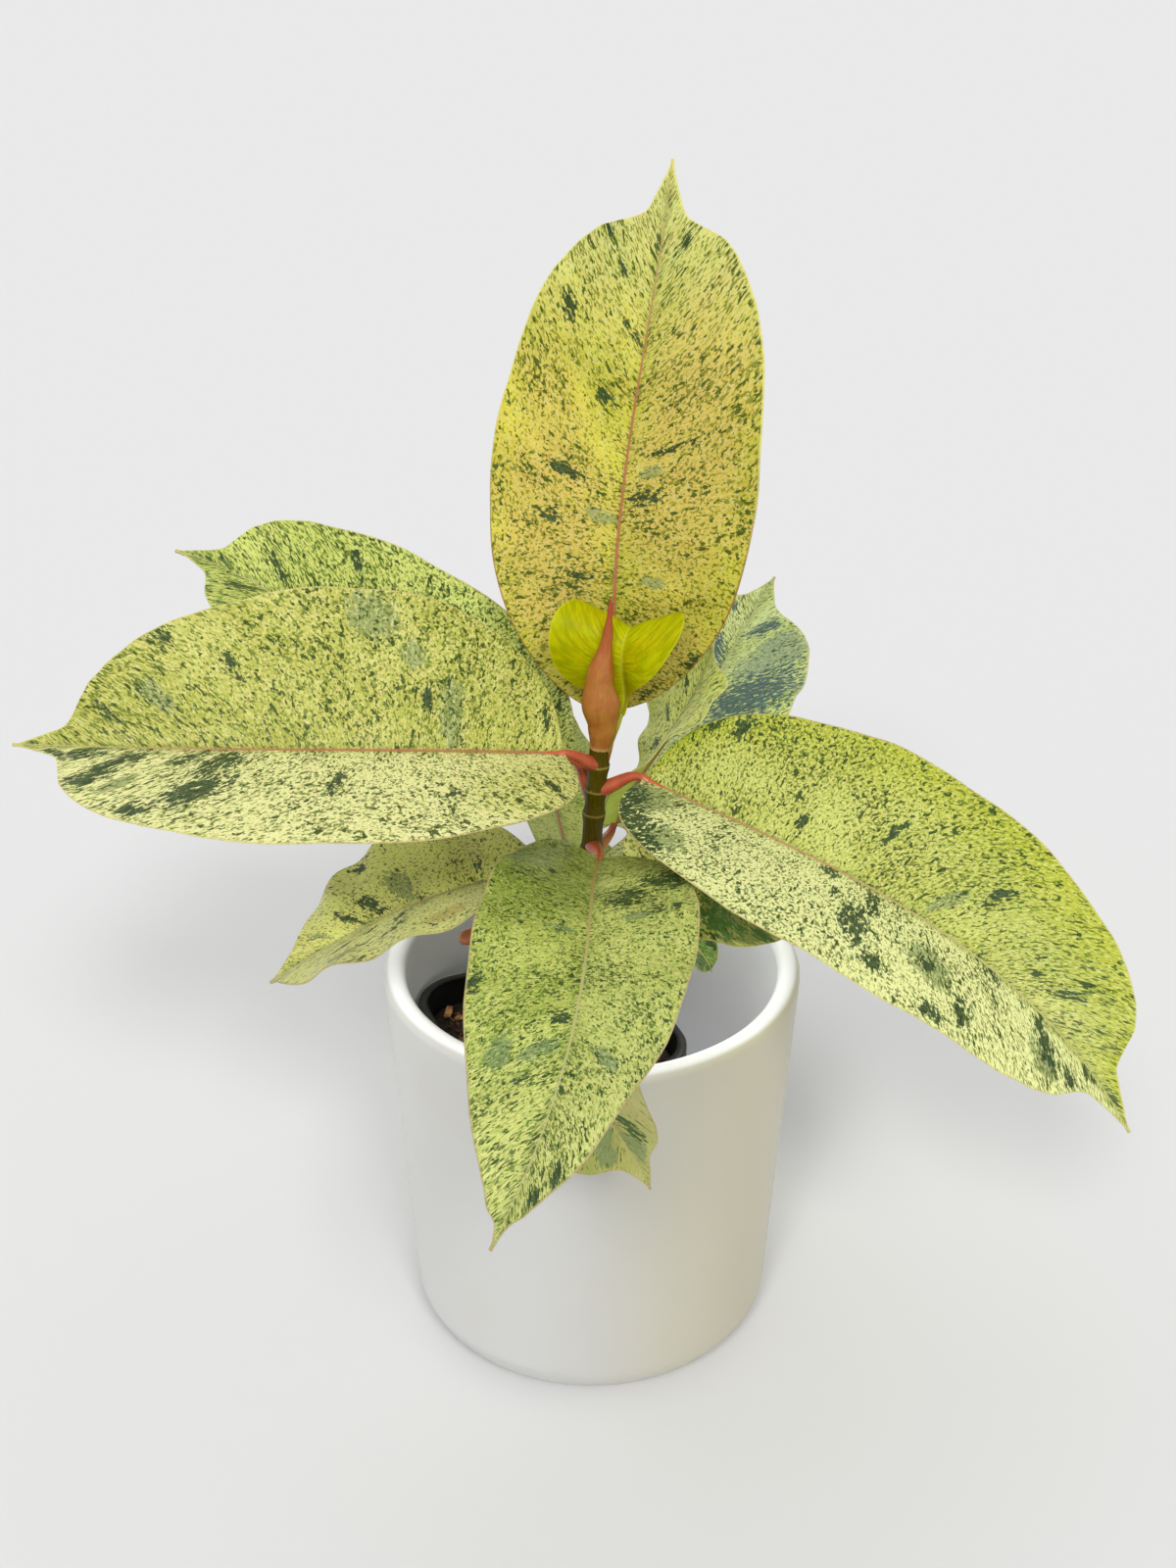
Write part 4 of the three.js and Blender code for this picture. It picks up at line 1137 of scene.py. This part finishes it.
# The knots are places along its middle line, each with the radius there
sheath = {
    "knots": [(2.9, 0, 249.3, 3.9), (3.8, -0.3, 258, 5.4), (3.1, -0.5, 267, 7), (2.8, -0.4, 277, 5.1),
             (5.3, 0.6, 292, 2.1), (6.3, 1.2, 302, 1), (6.4, 1.5, 307.5, 0.4)],
    "rows": 120, "sides": 48, "flatten": 0.9, "seam": 0.45, "seamTurn": 0.35,
    "seamFrom": 0.62, "ridges": 17, "ridgeProud": 0.05, "inset": 0.12, "skinRadius": 0.006,
    "body": (181, 125, 48), "warm": (175, 98, 40), "tip": (168, 68, 30), "green": (162, 137, 44),
    "rim": (206, 176, 120), "line": (146, 86, 38),
}


def sheathPiece():
    p = sheath
    knots = np.array(p["knots"], float)
    line = smoothLine(knots[:, :3], p["rows"])
    heights = line[:, 2]
    above = np.clip(np.searchsorted(knots[:, 2], heights, side="right"), 1, len(knots) - 1)
    low, high = knots[above - 1], knots[above]
    climb = clamped((heights - low[:, 2]) / (high[:, 2] - low[:, 2]))
    radius = mixed(low[:, 3], high[:, 3], softened(climb))[:, None]
    turn = circle(p["sides"])
    share = np.linspace(0, 1, p["rows"])[:, None]
    around = (turn / math.tau - p["seamFrom"] - p["seamTurn"] * share) % 1
    full = clamped(radius / 5)
    lip = clamped(1 - around / 0.5) ** 2 * p["seam"] * full
    fine = p["ridgeProud"] * np.sin(turn * p["ridges"]) * full
    rings = tubeRings(line, radius + lip + fine - p["inset"], p["sides"], p["flatten"])
    return ringBody("bud_sheath", rings * mm, tubeFields(line * mm, p["sides"], around, p["skinRadius"]))


def sheathFinish():
    p = sheath
    finish, start = newFinish("sheath")
    span, skin = start.field("span"), start.field("skin")
    along = span.part("X")
    fibre = skin.stretch((1400.0, 1400.0, 90.0)).cloud(1.0, 3.0)
    blush = skin.cloud(170.0, 3.0)
    body = blush.ease(0.3, 0.7).blend(p["body"], p["warm"])
    body = (blush.ease(0.55, 0.8) * 0.4).blend(body, p["green"])
    body = (along + (blush - 0.5) * 0.3).ease(0.45, 0.95).blend(body, p["tip"])
    body = (fibre.ease(0.4, 0.7) * 0.3).blend(body, p["line"])
    seam = 1 - span.part("Y").ease(0.0, 0.025)
    body = (seam * 0.6).blend(body, p["line"])
    colour = ((1 - along.ease(0.0, 0.035)) * 0.7).blend(body, p["rim"])
    closeFinish(start, {
        "Base Color": colour, "Roughness": fibre * 0.2 + 0.36,
        "Normal": start.bump(fibre, 0.3, 0.0004),
    })
    return finish


settle(sheathPiece(), sheathFinish(), "sheath", "sheath")
print("sheath made")


# Floor, sky and lamps. from is the side that a lamp shines from, and spread its width in degrees.

studio = {
    "floorHalf": 30, "floor": (231, 231, 231), "sky": (1.0, 1.0, 1.0, 1.0), "skyStrength": 0.42,
    "fill": {"place": (0.034, -0.012, 0.168), "power": 0.031, "radius": 0.016},
    "lamps": {
        "top": {"from": (-0.12, 0.33, 1.0), "power": 0.55, "spread": 68, "potOnly": False},
        "front": {"from": (0.0, -1.0, 0.92), "power": 0.25, "spread": 12, "potOnly": False},
        "frontLeft": {"from": (0.3, -1.0, 0.95), "power": 0.9, "spread": 12, "potOnly": False},
        "frontRight": {"from": (-0.3, -1.0, 0.95), "power": 0.9, "spread": 12, "potOnly": False},
        "pot": {"from": (-0.4, -0.05, 1.0), "power": 1.6, "spread": 2, "potOnly": True},
    },
}


def floorPiece():
    half = studio["floorHalf"]
    mesh = bpy.data.meshes.new("floor")
    corners = [(-half, -half, 0), (half, -half, 0), (half, half, 0), (-half, half, 0)]
    mesh.from_pydata(corners, [], [(0, 1, 2, 3)])
    finish, start = newFinish("floor")
    colour = tone(*studio["floor"])
    closeFinish(start, {"Base Color": colour, "Roughness": 0.9, "Specular IOR Level": 0.0})
    floor = show(bpy.data.objects.new("floor", mesh))
    floor.location.z = -0.0002  # a hair below the pot, so that the two faces don't flicker
    mesh.materials.append(finish)


floorPiece()
world = bpy.data.worlds.new("studio")
bpy.context.scene.world = world
world.use_nodes = True
background = world.node_tree.nodes["Background"]
background.inputs["Color"].default_value = studio["sky"]
background.inputs["Strength"].default_value = studio["skyStrength"]
for name, lamp in studio["lamps"].items():
    sun = bpy.data.lights.new(name, "SUN")
    sun.energy = lamp["power"]
    sun.angle = math.radians(lamp["spread"])
    holder = show(bpy.data.objects.new(name, sun))
    holder.rotation_euler = Vector(lamp["from"]).to_track_quat("Z", "Y").to_euler()
    if lamp["potOnly"]:
        sun.use_shadow = False
        lit = bpy.data.collections.new("litPot")
        lit.objects.link(whitePotBody)
        holder.light_linking.receiver_collection = lit

# Light that the pale leaves and the inner wall throw back and forth inside the pot
glow = bpy.data.lights.new("fill", "POINT")
glow.energy = studio["fill"]["power"]
glow.shadow_soft_size = studio["fill"]["radius"]
holder = show(bpy.data.objects.new("fill", glow))
holder.location = studio["fill"]["place"]
bpy.context.scene.view_settings.view_transform = "Standard"
print("studio set")
